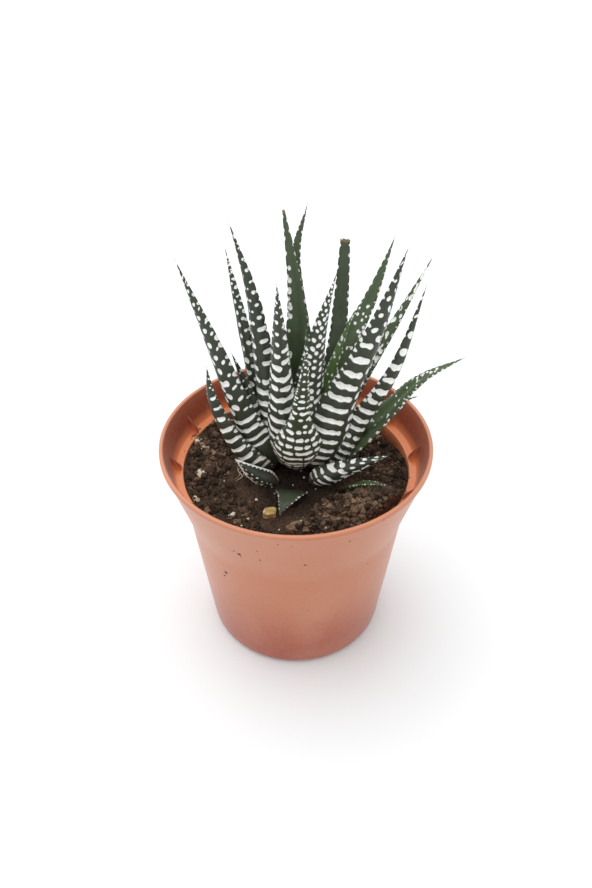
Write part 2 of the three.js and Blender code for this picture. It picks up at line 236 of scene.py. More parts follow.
def above_soil(line):
    """A line whose heights are given above the soil level, in heights above the table."""
    return [(x, y, z + SOIL_LEVEL) for x, y, z in line]


# ---- Materials ----

def new_material(name):
    material = bpy.data.materials.new(name)
    material.use_nodes = True
    tree = material.node_tree
    shader = tree.nodes["Principled BSDF"]
    return material, tree, shader


def add(tree, kind, **settings):
    """A new node with its properties set."""
    node = tree.nodes.new(kind)
    for key, value in settings.items():
        setattr(node, key, value)
    return node


def link(tree, source, target):
    tree.links.new(source, target)


def noise_at(tree, place, scale, detail=4.0, roughness=0.55, distortion=0.0):
    """The value of a noise field, fed from a place socket."""
    node = add(tree, "ShaderNodeTexNoise")
    node.inputs["Scale"].default_value = scale
    node.inputs["Detail"].default_value = detail
    node.inputs["Roughness"].default_value = roughness
    node.inputs["Distortion"].default_value = distortion
    link(tree, place, node.inputs["Vector"])
    return node.outputs["Fac"]


def step(tree, value, low, high, to_low=0.0, to_high=1.0):
    """A smooth step from one value to another as a socket goes from low to high."""
    node = add(tree, "ShaderNodeMapRange", interpolation_type="SMOOTHSTEP")
    node.inputs["From Min"].default_value = low
    node.inputs["From Max"].default_value = high
    node.inputs["To Min"].default_value = to_low
    node.inputs["To Max"].default_value = to_high
    link(tree, value, node.inputs["Value"])
    return node.outputs["Result"]


def blend(tree, share, first, second):
    """Two colours mixed by a share. Each is a socket or a plain colour."""
    node = add(tree, "ShaderNodeMix", data_type="RGBA")
    for socket, colour in ((node.inputs[6], first), (node.inputs[7], second)):
        if isinstance(colour, (tuple, list)):
            socket.default_value = (*colour, 1.0)
        else:
            link(tree, colour, socket)
    link(tree, share, node.inputs[0])
    return node.outputs[2]


def calc(tree, operation, first, second):
    """The result of a sum on two values, each a socket or a number."""
    node = add(tree, "ShaderNodeMath", operation=operation)
    for socket, value in ((node.inputs[0], first), (node.inputs[1], second)):
        if isinstance(value, (int, float)):
            socket.default_value = value
        else:
            link(tree, value, socket)
    return node.outputs[0]


def bump(tree, shader, height, strength, distance):
    node = add(tree, "ShaderNodeBump")
    node.inputs["Strength"].default_value = strength
    node.inputs["Distance"].default_value = distance
    link(tree, height, node.inputs["Height"])
    link(tree, node.outputs["Normal"], shader.inputs["Normal"])


def object_place(tree):
    return add(tree, "ShaderNodeTexCoord").outputs["Object"]


def stretch(tree, place, scale):
    """A place socket scaled along each axis."""
    node = add(tree, "ShaderNodeMapping")
    node.inputs["Scale"].default_value = scale
    link(tree, place, node.inputs["Vector"])
    return node.outputs["Vector"]


def kept_vector(tree, name):
    """A vector that the vertices keep."""
    return add(tree, "ShaderNodeAttribute", attribute_name=name).outputs["Vector"]


def split_vector(tree, source):
    """The three values of a vector, from a socket or from the name of one that the vertices keep."""
    node = add(tree, "ShaderNodeSeparateXYZ")
    link(tree, kept_vector(tree, source) if isinstance(source, str) else source, node.inputs[0])
    return node


def new_group(name, inputs, outputs):
    """An empty shader node group with named inputs (name, kind, value) and outputs (name, kind)."""
    group = bpy.data.node_groups.new(name, "ShaderNodeTree")
    for label, kind, value in inputs:
        group.interface.new_socket(name=label, in_out="INPUT", socket_type=kind).default_value = value
    for label, kind in outputs:
        group.interface.new_socket(name=label, in_out="OUTPUT", socket_type=kind)
    return group, group.nodes.new("NodeGroupInput"), group.nodes.new("NodeGroupOutput")


TWO_COLOURS = [("Dark", "NodeSocketColor", (0.02, 0.013, 0.009, 1)),
               ("Light", "NodeSocketColor", (0.1, 0.07, 0.05, 1))]
COLOUR_AND_HEIGHT = [("Color", "NodeSocketColor"), ("Height", "NodeSocketFloat")]


def make_grains_group():
    """Fine crumbly grain: a patchy mix of a dark and a light tone, with bright grains and a height."""
    group, inward, outward = new_group(
        "crumbly_grain",
        TWO_COLOURS + [("Grain", "NodeSocketFloat", 1500.0), ("Patch", "NodeSocketFloat", 120.0)],
        COLOUR_AND_HEIGHT)
    place = object_place(group)
    fields = []
    for label in ("Grain", "Patch"):
        field = add(group, "ShaderNodeTexNoise")
        field.inputs["Detail"].default_value = 5.0
        field.inputs["Roughness"].default_value = 0.65
        link(group, place, field.inputs["Vector"])
        link(group, inward.outputs[label], field.inputs["Scale"])
        fields.append(field.outputs["Fac"])
    fine, patch = fields
    mixed = calc(group, "ADD", calc(group, "MULTIPLY", fine, 0.6), calc(group, "MULTIPLY", patch, 0.4))
    share = step(group, mixed, 0.36, 0.68)
    link(group, blend(group, share, inward.outputs["Dark"], inward.outputs["Light"]), outward.inputs["Color"])
    link(group, mixed, outward.inputs["Height"])
    return group


def place_group(tree, group, **values):
    node = add(tree, "ShaderNodeGroup")
    node.node_tree = group
    for key, value in values.items():
        node.inputs[key].default_value = (*value, 1.0) if isinstance(value, tuple) else value
    return node


def make_tones_group():
    """A tone that is kept for each vertex, from dark to light, under a fine grain."""
    group, inward, outward = new_group("toned_grain", TWO_COLOURS, COLOUR_AND_HEIGHT)
    tone = split_vector(group, "tone").outputs["X"]
    grain = noise_at(group, object_place(group), 2200.0, 5.0, 0.65)
    share = calc(group, "ADD", tone, calc(group, "MULTIPLY", calc(group, "SUBTRACT", grain, 0.5), 1.1))
    colour = blend(group, step(group, share, 0.0, 1.0), inward.outputs["Dark"], inward.outputs["Light"])
    link(group, colour, outward.inputs["Color"])
    link(group, grain, outward.inputs["Height"])
    return group


def make_streaks_group():
    """Rough grain drawn out along the height, from dark to light."""
    group, inward, outward = new_group("streaked_grain", TWO_COLOURS, COLOUR_AND_HEIGHT)
    grain = noise_at(group, stretch(group, object_place(group), (1.0, 1.0, 0.3)), 900.0, 5.0, 0.65)
    colour = blend(group, step(group, grain, 0.3, 0.7), inward.outputs["Dark"], inward.outputs["Light"])
    link(group, colour, outward.inputs["Color"])
    link(group, grain, outward.inputs["Height"])
    return group


def grained_material(name, group, roughness, strength, depth, specular=0.25, **values):
    """A dry rough material whose colour and height come from a grain group with its own values."""
    material, tree, shader = new_material(name)
    grains = place_group(tree, group, **values)
    link(tree, grains.outputs["Color"], shader.inputs["Base Color"])
    shader.inputs["Roughness"].default_value = roughness
    shader.inputs["Specular IOR Level"].default_value = specular
    bump(tree, shader, grains.outputs["Height"], strength, depth)
    return material


def crumbly_material(name, dark, light, grain, patch, roughness=0.95):
    """Soil, peat, bark or stone."""
    return grained_material(name, GRAINS, roughness, 0.8, 0.0006,
                            Dark=dark, Light=light, Grain=grain, Patch=patch)


def toned_material(name, dark, light, roughness=0.95):
    """Loose crumbs, each with its own tone."""
    return grained_material(name, TONES, roughness, 0.7, 0.0004, Dark=dark, Light=light)


def woody_material(name, dark, light):
    """Dry stem or root."""
    return grained_material(name, STREAKS, 0.85, 0.7, 0.0004, 0.5, Dark=dark, Light=light)


def paint_plant_shade(material, share):
    """Paints shade into a material about a place 8 mm in front of the pot's axis, where the plant shades it.
    """
    tree = material.node_tree
    base = tree.nodes["Principled BSDF"].inputs["Base Color"]
    dry = base.links[0].from_socket
    flat = add(tree, "ShaderNodeVectorMath", operation="MULTIPLY_ADD")
    link(tree, object_place(tree), flat.inputs[0])
    flat.inputs[1].default_value = (1.0, 1.0, 0.0)
    flat.inputs[2].default_value = (0.0, 0.008, 0.0)
    reach = add(tree, "ShaderNodeVectorMath", operation="LENGTH")
    link(tree, flat.outputs["Vector"], reach.inputs[0])
    # painted shade: the colour goes near black towards the plant's base
    plant_shade_share = step(tree, reach.outputs["Value"], 0.007, 0.019, share, 0.0)
    link(tree, blend(tree, plant_shade_share, dry, (0.002, 0.0015, 0.001)), base)


LEAF_DARK = (0.030, 0.037, 0.023)
LEAF_GREEN = (0.064, 0.088, 0.044)
LEAF_BRIGHT = (0.105, 0.190, 0.045)
LEAF_STAIN = (0.040, 0.024, 0.015)
LEAF_BROWN = (0.20, 0.13, 0.055)
BAND_WHITE = (0.93, 0.93, 0.89)
BAND_CREAM = (0.74, 0.67, 0.56)


def make_leaf_material():
    """Leaf skin. Vertices keep place (across, along, inner side) and marks (ridge, dryness, brightness)."""
    material, tree, shader = new_material("leaf_skin")
    place = kept_vector(tree, "place")
    where, mark = split_vector(tree, place), split_vector(tree, "marks")
    solid_place = object_place(tree)
    mottle = noise_at(tree, solid_place, 260.0, 4.0, 0.6)
    fine = noise_at(tree, solid_place, 1900.0, 3.0, 0.6)
    streak = noise_at(tree, stretch(tree, place, (3.2, 0.22, 1.0)), 1.0, 3.0, 0.5)

    inner = calc(tree, "MULTIPLY", where.outputs["Z"], 0.55)
    lightness = calc(tree, "ADD", calc(tree, "ADD", inner, calc(tree, "MULTIPLY", mottle, 0.55)),
                     calc(tree, "MULTIPLY", streak, 0.35))
    green = blend(tree, step(tree, lightness, 0.30, 1.15), LEAF_DARK, LEAF_GREEN)
    green = blend(tree, calc(tree, "MULTIPLY", mark.outputs["Z"], step(tree, mottle, 0.25, 0.75, 0.55, 1.0)),
                  green, LEAF_BRIGHT)
    brown = step(tree, calc(tree, "ADD", mark.outputs["Y"], calc(tree, "MULTIPLY", mottle, 0.3)), 0.4, 0.85)
    green = blend(tree, brown, green, LEAF_BROWN)

    uneven = calc(tree, "MULTIPLY", calc(tree, "SUBTRACT", fine, 0.5), 0.22)
    edge = calc(tree, "ADD", mark.outputs["X"], uneven)
    ridge = step(tree, edge, 0.04, 0.22)
    creamy = step(tree, where.outputs["Y"], 12.0, 1.0)
    white = blend(tree, creamy, BAND_WHITE, BAND_CREAM)
    white = blend(tree, step(tree, fine, 0.35, 0.8, 0.0, 0.25), white, LEAF_GREEN)
    from_root = calc(tree, "ADD", where.outputs["Y"], calc(tree, "MULTIPLY", mottle, 5.0))
    stain = step(tree, from_root, 3.5, 9.0, 0.7, 0.0)
    link(tree, blend(tree, stain, blend(tree, ridge, green, white), LEAF_STAIN), shader.inputs["Base Color"])
    link(tree, step(tree, ridge, 0.0, 1.0, 0.42, 0.62), shader.inputs["Roughness"])
    shader.inputs["Specular IOR Level"].default_value = 0.4
    height = calc(tree, "ADD", calc(tree, "MULTIPLY", fine, 0.4), calc(tree, "MULTIPLY", streak, 0.6))
    bump(tree, shader, height, 0.25, 0.0003)
    return material


POT_COLOUR = (0.460, 0.152, 0.068)
POT_RED = (0.30, 0.040, 0.012)
POT_PALE = (0.52, 0.25, 0.16)
# painted shade for the inside of the pot
POT_INSIDE_SHADE = (0.31, 0.055, 0.023)
# painted light on the top of the rim
POT_LIP_LIGHT = (0.62, 0.24, 0.13)
# painted light on the ledge's upward face
POT_LEDGE_LIGHT = (0.80, 0.25, 0.09)
POT_SCUFFED = (0.80, 0.60, 0.50)
POT_STAINED = (0.20, 0.085, 0.050)


def make_pot_material():
    """Moulded terracotta-coloured plastic: redder low down, with painted shade inside and painted light on
    the ledge and the lip, with scuffs and soil dust.
    Vertices keep zone: how far inside the pot they are, and whether they are on the ledge or lip."""
    material, tree, shader = new_material("terracotta_plastic")
    place = object_place(tree)
    height, zone = split_vector(tree, place).outputs["Z"], split_vector(tree, "zone")
    cloudy = noise_at(tree, place, 28.0, 4.0, 0.55, 0.6)
    fine = noise_at(tree, place, 900.0, 4.0, 0.6)
    low = step(tree, calc(tree, "ADD", height, calc(tree, "MULTIPLY", cloudy, 0.02)), 0.050, 0.014)
    body = blend(tree, calc(tree, "MULTIPLY", low, 0.85), POT_COLOUR, POT_RED)
    pale = calc(tree, "MULTIPLY", step(tree, cloudy, 0.45, 0.75), 0.35)
    body = blend(tree, pale, body, POT_PALE)
    # painted shade: the inside of the pot is darker and redder
    inside_shade = calc(tree, "MULTIPLY", zone.outputs["X"], step(tree, cloudy, 0.2, 0.8, 0.8, 1.0))
    body = blend(tree, inside_shade, body, POT_INSIDE_SHADE)
    # painted light: the ledge's upward face is brighter orange
    body = blend(tree, zone.outputs["Y"], body, POT_LEDGE_LIGHT)
    # painted light: the top of the rim is lighter orange
    body = blend(tree, calc(tree, "MULTIPLY", zone.outputs["Z"], 0.7), body, POT_LIP_LIGHT)
    scuff = step(tree, noise_at(tree, stretch(tree, place, (1.0, 1.0, 0.18)), 210.0, 6.0, 0.7), 0.66, 0.76)
    body = blend(tree, calc(tree, "MULTIPLY", scuff, 0.30), body, POT_SCUFFED)
    dust = step(tree, noise_at(tree, place, 420.0, 2.0, 0.5), 0.70, 0.76)
    body = blend(tree, calc(tree, "MULTIPLY", dust, 0.5), body, POT_STAINED)
    mottle = step(tree, noise_at(tree, place, 620.0, 3.0, 0.6), 0.35, 0.65, 0.0, 0.10)
    body = blend(tree, mottle, body, POT_PALE)
    link(tree, body, shader.inputs["Base Color"])
    link(tree, step(tree, cloudy, 0.3, 0.8, 0.34, 0.46), shader.inputs["Roughness"])
    shader.inputs["Specular IOR Level"].default_value = 0.55
    shader.inputs["Sheen Weight"].default_value = 0.22
    shader.inputs["Sheen Roughness"].default_value = 0.35
    shader.inputs["Sheen Tint"].default_value = (1.0, 0.93, 0.90, 1.0)
    bump(tree, shader, fine, 0.10, 0.0002)
    return material


GRAINS = make_grains_group()
TONES = make_tones_group()
STREAKS = make_streaks_group()
leaf_skin = make_leaf_material()
terracotta_plastic = make_pot_material()
damp_peat = crumbly_material("damp_peat", (0.020, 0.012, 0.008), (0.105, 0.060, 0.035), 1300.0, 130.0)
# painted shade on the soil about the plant's base
paint_plant_shade(damp_peat, 0.7)
loose_peat = toned_material("loose_peat", (0.025, 0.014, 0.008), (0.30, 0.190, 0.120))
dry_peat = crumbly_material("dry_peat", (0.030, 0.018, 0.011), (0.165, 0.110, 0.072), 1100.0, 260.0)
bark_brown = crumbly_material("bark_brown", (0.07, 0.040, 0.022), (0.30, 0.20, 0.12), 700.0, 200.0)
ochre_stone = crumbly_material("ochre_stone", (0.28, 0.17, 0.05), (0.62, 0.44, 0.18), 900.0, 320.0, 0.8)
beige_stone = crumbly_material("beige_stone", (0.45, 0.34, 0.20), (0.78, 0.66, 0.46), 900.0, 320.0, 0.8)
pale_perlite = crumbly_material("pale_perlite", (0.50, 0.42, 0.30), (0.86, 0.80, 0.68), 1500.0, 420.0)
stem_wood = woody_material("stem_wood", (0.05, 0.04, 0.025), (0.20, 0.18, 0.11))
root_skin = woody_material("root_skin", (0.30, 0.23, 0.14), (0.66, 0.56, 0.38))
pale_grains = toned_material("pale_grains", (0.38, 0.30, 0.19), (0.82, 0.76, 0.62), 0.9)


# ---- Pot ----

def pot_outside(z):
    """Outside radius of the pot at a height."""
    if z >= COLLAR_FOOT:
        share = (z - COLLAR_FOOT) / COLLAR_DROP
        return COLLAR_FOOT_RADIUS + share * (RIM_RADIUS - COLLAR_FOOT_RADIUS)
    share = (z - FOOT_ROUND) / (COLLAR_FOOT - FOOT_ROUND)
    return BASE_RADIUS + share * (COLLAR_FOOT_RADIUS - COLLAR_STEP - BASE_RADIUS)


def pot_inside(z):
    """Inside radius of the pot below the ledge."""
    below = pot_outside(min(z, COLLAR_FOOT - 0.01)) - WALL
    if z <= COLLAR_FOOT:
        return below
    share = (z - COLLAR_FOOT) / (SOIL_LEVEL - COLLAR_FOOT)
    return below + share * (LEDGE_INNER_RADIUS - below)


def rounded(corners, steps=5):
    """An outline through corners (radius, height, rounding), each rounded by an arc-like curve."""
    outline = []
    for before, (x, z, rounding), after in zip(corners[:-2], corners[1:-1], corners[2:]):
        corner = np.array((x, z))
        back = np.array(before[:2]) - corner
        on = np.array(after[:2]) - corner
        reach = min(rounding, 0.45 * np.linalg.norm(back), 0.45 * np.linalg.norm(on))
        if reach <= 0:
            outline.append(corner)
            continue
        start = corner + back / np.linalg.norm(back) * reach
        end = corner + on / np.linalg.norm(on) * reach
        for t in np.linspace(0, 1, steps):
            outline.append((1 - t) ** 2 * start + 2 * t * (1 - t) * corner + t ** 2 * end)
    return np.array(outline)


def spread(outline, longest):
    """The outline with points added so that no stretch is longer than the given length."""
    points = [outline[0]]
    for start, end in zip(outline[:-1], outline[1:]):
        count = max(1, int(np.ceil(np.linalg.norm(end - start) / longest)))
        for t in np.linspace(0, 1, count + 1)[1:]:
            points.append(start + (end - start) * t)
    return np.array(points)


def lathe(name, outline, sides, pole_heights):
    """A turned object: an outline of (radius, height), closed at its two poles on the axis."""
    return skin(name, turned(outline, sides), (0, 0, pole_heights[0]), (0, 0, pole_heights[1]))


POT_SIDES = 256


def make_pot():
    wall_top = RIM_RADIUS - WALL
    wall_at_ledge = pot_outside(SOIL_LEVEL) - WALL
    floor_edge = pot_inside(BASE_THICKNESS + 2)
    corners = [
        (2.0, FOOT_RECESS, 0), (16.0, FOOT_RECESS, 0.3), (17.0, 0.0, 0.3), (BASE_RADIUS, 0.0, FOOT_ROUND),
        (pot_outside(COLLAR_FOOT - 3.4), COLLAR_FOOT - 3.4, 5.0),
        (pot_outside(COLLAR_FOOT + 2.6), COLLAR_FOOT + 2.6, 5.0),
        (RIM_RADIUS - 0.65, POT_HEIGHT - 2.2, 0.4), (RIM_RADIUS, POT_HEIGHT - 1.7, 0.4),
        (RIM_RADIUS, POT_HEIGHT, 0.55), (wall_top, POT_HEIGHT, 0.55),
        (wall_at_ledge, SOIL_LEVEL, 0.4), (LEDGE_INNER_RADIUS, SOIL_LEVEL, 0.35),
        (pot_inside(COLLAR_FOOT), COLLAR_FOOT, 1.0), (floor_edge, BASE_THICKNESS, 2.0),
        (2.0, BASE_THICKNESS, 0), (0.0, BASE_THICKNESS, 0),
    ]
    outline = spread(rounded([(0.0, FOOT_RECESS, 0)] + corners), 4.0)
    pot = lathe("pot_moulding", outline, POT_SIDES, (FOOT_RECESS, BASE_THICKNESS))
    ribs = [make_rib(math.radians(RIB_START + i * 360 / RIB_COUNT)) for i in range(RIB_COUNT)]
    combine(pot, ribs, "UNION")
    drills = [make_drill(math.radians((i + 0.5) * 360 / DRAIN_COUNT)) for i in range(DRAIN_COUNT)]
    combine(pot, drills, "DIFFERENCE")
    for tool in ribs + drills:
        bpy.data.objects.remove(tool)
    pot.data.set_sharp_from_angle(angle=math.radians(38))
    store(pot, "zone", pot_zones(pot))
    return finish_piece(pot, terracotta_plastic, "pot_plastic", "pot")


def pot_zones(pot):
    """For each vertex, how far it is inside the pot and how much it belongs to the ledge or the lip."""
    points = np.array([v.co for v in pot.data.vertices]) / MM
    reach, height = np.hypot(points[:, 0], points[:, 1]), points[:, 2]
    outside = np.array([pot_outside(z) for z in height])
    inside = np.clip((outside - reach - 0.35) / 0.4, 0, 1) * (height > 2.0)
    ledge = (np.abs(height - SOIL_LEVEL) < 0.45) * (reach > LEDGE_INNER_RADIUS - 0.5) * inside
    lip = np.clip((height - POT_HEIGHT + 0.6) / 0.5, 0, 1)
    return np.stack([inside * (1 - lip), ledge, lip], -1)


def make_rib(bearing):
    """A small gusset that stands on the ledge and leans on the collar, thinner at its top edge."""
    wall_at_ledge = pot_outside(SOIL_LEVEL) - WALL
    wall_at_top = pot_outside(SOIL_LEVEL + RIB_HEIGHT) - WALL
    side = [(LEDGE_INNER_RADIUS + 0.3, -0.3), (wall_at_ledge + 0.5, -0.3),
            (wall_at_top + 0.5, RIB_HEIGHT), (wall_at_top - 0.2, RIB_HEIGHT),
            (LEDGE_INNER_RADIUS + 0.75, 1.9), (LEDGE_INNER_RADIUS + 0.3, 0.8)]
    points = []
    for half in (-RIB_THICKNESS / 2, RIB_THICKNESS / 2):
        for radius, lift in side:
            slim = half * (1 - 0.35 * max(lift, 0) / RIB_HEIGHT)
            points.append((radius, slim, SOIL_LEVEL + lift))
    count = len(side)
    quads = [(i, (i + 1) % count, (i + 1) % count + count, i + count) for i in range(count)]
    tris = [(0, i + 1, i) for i in range(1, count - 1)]
    tris += [(count, count + i, count + i + 1) for i in range(1, count - 1)]
    rib = mesh_object("rib", rotated(np.array(points), bearing), quads, tris)
    face_out(rib)
    return rib


def face_out(made):
    """Turns every face of a closed mesh outward."""
    shape = bmesh.new()
    shape.from_mesh(made.data)
    bmesh.ops.recalc_face_normals(shape, faces=shape.faces)
    shape.to_mesh(made.data)
    shape.free()


def make_drill(bearing):
    """A round cutter for one drain hole."""
    low, high = -1.0, BASE_THICKNESS + 1.5
    drill = lathe("drill", np.array([(DRAIN_RADIUS, low), (DRAIN_RADIUS, high)]), 40, (low, high))
    offset = Vector((math.cos(bearing), math.sin(bearing), 0)) * DRAIN_CIRCLE * MM
    drill.data.transform(Matrix.Translation(offset))
    face_out(drill)
    return drill


# Specks of dried soil on the outside: bearing in degrees, height and radius in mm.
POT_SPECKS = [
    (-116, 59.4, 0.50), (-118.4, 60.2, 0.25), (-115.6, 58.3, 0.22), (-129.5, 43, 0.75), (-131, 40.6, 0.5),
    (-86, 58.5, 0.42), (-106, 59.4, 0.28), (-106.3, 64.8, 0.18), (-97, 70.6, 0.26), (-91.5, 69.8, 0.16),
    (-68, 68.6, 0.30), (-51, 47.5, 0.24), (-95.2, 24.8, 0.28), (-62, 33, 0.18), (-141, 52, 0.2),
    (60, 48, 0.4), (118, 31, 0.34), (155, 56, 0.3), (20, 37, 0.26), (-10, 52, 0.3), (190, 24, 0.28),
]


# ---- Leaves ----

# line: middle line from root to tip, with its heights above the soil level.
# seat: bearing in degrees that the banded outer face looks to (0 is +X, 90 is +Y).
# width: widest, in mm. clasp: share of the width that belongs to the swollen base.
# keel: depth of the outer face as a share of the width. fullness: how far along the leaf
# stays wide. blunt: share of the length broken off.
# Inner leaves come first.
Leaf = namedtuple("Leaf", "name seat width clasp keel line fullness blunt", defaults=(1.6, 0))
LEAVES = [
    Leaf("leaf_left_tall", 245, 12, 0.2, 0.42,
         ((-4, 1, 4.5), (-8.5, 1, 34.5), (-12, 1, 61), (-17.5, 0, 83.5))),
    Leaf("leaf_centre_slim", 265, 11.5, 0.15, 0.42,
         ((-2, -4, 3.5), (-4, -5, 29.5), (-4.5, -8, 53), (-5, -10, 71))),
    Leaf("leaf_centre_dotted", 280, 13.5, 0.15, 0.42,
         ((2, 0, 5.5), (3.5, -2, 31), (6, -5, 51.5), (10.5, -8, 72.5))),
    Leaf("leaf_young_right", 60, 8, 0.15, 0.35,
         ((3, 3, 6), (8, 5, 22), (12, 8, 36), (17, 11, 50))),
    Leaf("leaf_young_centre", 110, 7, 0.15, 0.35,
         ((0, 4, 6), (2, 7, 20), (3, 9, 32), (3, 12, 44))),
    Leaf("leaf_back_tall", 95, 12.5, 0.15, 0.35,
         ((0, 7, 4), (0.5, 12, 30.5), (0, 18, 51.5), (-3.5, 24, 74.5)), blunt=0.07),
    Leaf("leaf_back_broken", 80, 8, 0.15, 0.35,
         ((5, 7, 3.5), (11.5, 12, 28.5), (13.5, 20, 46.5), (14.5, 26, 64.5)), blunt=0.34),
    Leaf("leaf_right_banded", 280, 17, 0.2, 0.4,
         ((4, -3, 3), (12.5, -3, 27.5), (21.5, -6, 53.5), (28.5, -8, 80))),
    Leaf("leaf_right_channelled", 50, 12, 0.15, 0.35,
         ((7, 5, 2.5), (14, 12, 33), (22.5, 19, 50), (29, 24, 67.5))),
    Leaf("leaf_right_far", 35, 10.5, 0.15, 0.35,
         ((8, 3, 2.5), (17.5, 9, 23), (28.5, 12, 43.5), (39.5, 15, 66.5))),
    Leaf("leaf_back_curved", 80, 9, 0.15, 0.35,
         ((1, 9, 2), (2, 17, 32.5), (-0.2, 25, 58.5), (3.5, 30, 75))),
    Leaf("leaf_left_second", 220, 11, 0.15, 0.42,
         ((-5, 4, 3), (-11, 5, 28), (-16, 6, 55), (-19.5, 8, 72))),
    Leaf("leaf_right_outer", 290, 13.5, 0.2, 0.4,
         ((8, -2, 1.5), (18.5, 1, 17), (28.5, -2, 39), (35, -4, 67.5))),
    Leaf("leaf_front", 270, 15.5, 0.5, 0.32,
         ((0, -5, 3), (1, -12, 26.5), (2, -19, 45), (3, -25, 62))),
    Leaf("leaf_left_outer", 245, 14, 0.15, 0.4,
         ((-7, 0, 1), (-15, -1, 20), (-23.5, -4, 50), (-31.5, -6, 76))),
    Leaf("leaf_left_third", 235, 11, 0.15, 0.42,
         ((-7, 3, 2), (-12, 2, 18.5), (-15, 3, 29.5), (-19, 3, 41))),
    Leaf("leaf_left_short", 245, 11, 0.15, 0.4,
         ((-8, -3, 0.5), (-18, -4, 13), (-24, -5, 29), (-25.5, -5, 41.5))),
    Leaf("leaf_right_low", 15, 12, 0.15, 0.35,
         ((11, 1, 1), (27.5, 3, 19), (37, 3, 31), (50, 2, 40))),
    Leaf("leaf_right_spur", 20, 4.5, 0.1, 0.4,
         ((14, 6, 2), (27.5, 8, 11), (32.5, 8.5, 18), (39, 8, 21.5))),
    Leaf("leaf_back_left", 125, 11, 0.15, 0.42,
         ((-4, 8, 1.5), (-9, 17, 14), (-13, 25, 24), (-17, 31, 32))),
    Leaf("leaf_back_right", 60, 11, 0.15, 0.42,
         ((5, 9, 1), (11, 19, 13), (16, 28, 24), (20, 34, 33))),
    Leaf("leaf_back_low", 95, 10, 0.15, 0.42,
         ((0, 10, 0.5), (0, 20, 8), (-1, 29, 16), (-2, 36, 25))),
    Leaf("leaf_left_back", 150, 9, 0.15, 0.42,
         ((-8, 6, 1), (-14, 12, 7), (-19, 17, 14), (-21, 21, 22))),
    Leaf("leaf_right_back", 20, 8.5, 0.15, 0.42,
         ((10, 6, 0.5), (18, 13, 5), (25, 17, 9), (30, 20, 13))),
    Leaf("leaf_old_left", 285, 7, 0, 0.4,
         ((-5.5, -9, -0.4), (-9.5, -9.5, 2.6), (-14, -10, 6.3), (-18.5, -10, 11)), fullness=2.6),
    Leaf("leaf_old_right", 255, 9, 0, 0.4,
         ((4.5, -9.5, 1.2), (9, -10.8, 5), (18, -12, 10.2), (28, -12, 14)), fullness=1.9),
    Leaf("leaf_old_front", 262, 10.5, 0.1, 0.3,
         ((-1.2, -13, 0.6), (-2, -17.6, 3.4), (-3.5, -22, 3.8), (-5, -25, 2))),
    Leaf("leaf_old_hidden", 300, 5, 0.1, 0.4,
         ((13, -12.3, 1.0), (18.5, -13.4, 4.0), (23, -14.0, 4.8), (28.2, -14.6, 4.2))),
]

# How a leaf is marked. first: distance of the first band from the root, in mm. gap: distance between
# bands at the root and at the tip. bold: thickness of a band as a share of that gap. banded: share of the
# leaf's length with whole bands, after which they part into beads. rows: place of each bead row, from -1
# to 1 across the outer face, and its share of the bead's size. bead: radius of a bead. bow: how far a
# band's ends run towards the tip. dash: chance that a band is broken. split: where across the face the
# bands end and a column of beads stands instead. teeth: height of the marks on the edges. piping: width
# of a pale line on the edges. specks: small pale dots on the inner face. tone: how bright the green is.
# shade: how much lighter the inner face is. dry: how brown the tip is. partings: where a band is parted,
# from -1 to 1. slant: how far a band runs towards the tip from one edge to the other. speck: smallest and
# largest speck. field: where the specks are, along the leaf and then across it. hollow: depth of the
# channel in the inner face, as a share of the width.
PLAIN_MARKS = {
    "first": 3.0, "gap": (2.4, 4.2), "bold": 0.44, "banded": 0.5, "rows": ((-0.45, 1.0), (0.45, 1.0)),
    "bead": 0.8, "bow": 0.0, "dash": 0.15, "split": 1.0, "teeth": 0.40, "tooth_gap": 2.9, "piping": 0.0,
    "specks": 0, "speck": (0.22, 0.45), "field": (0.12, 0.8, -0.75, 0.75), "tone": 0.0, "shade": 1.0,
    "dry": 0.25, "partings": (), "slant": 0.0, "hollow": 0.05,
}
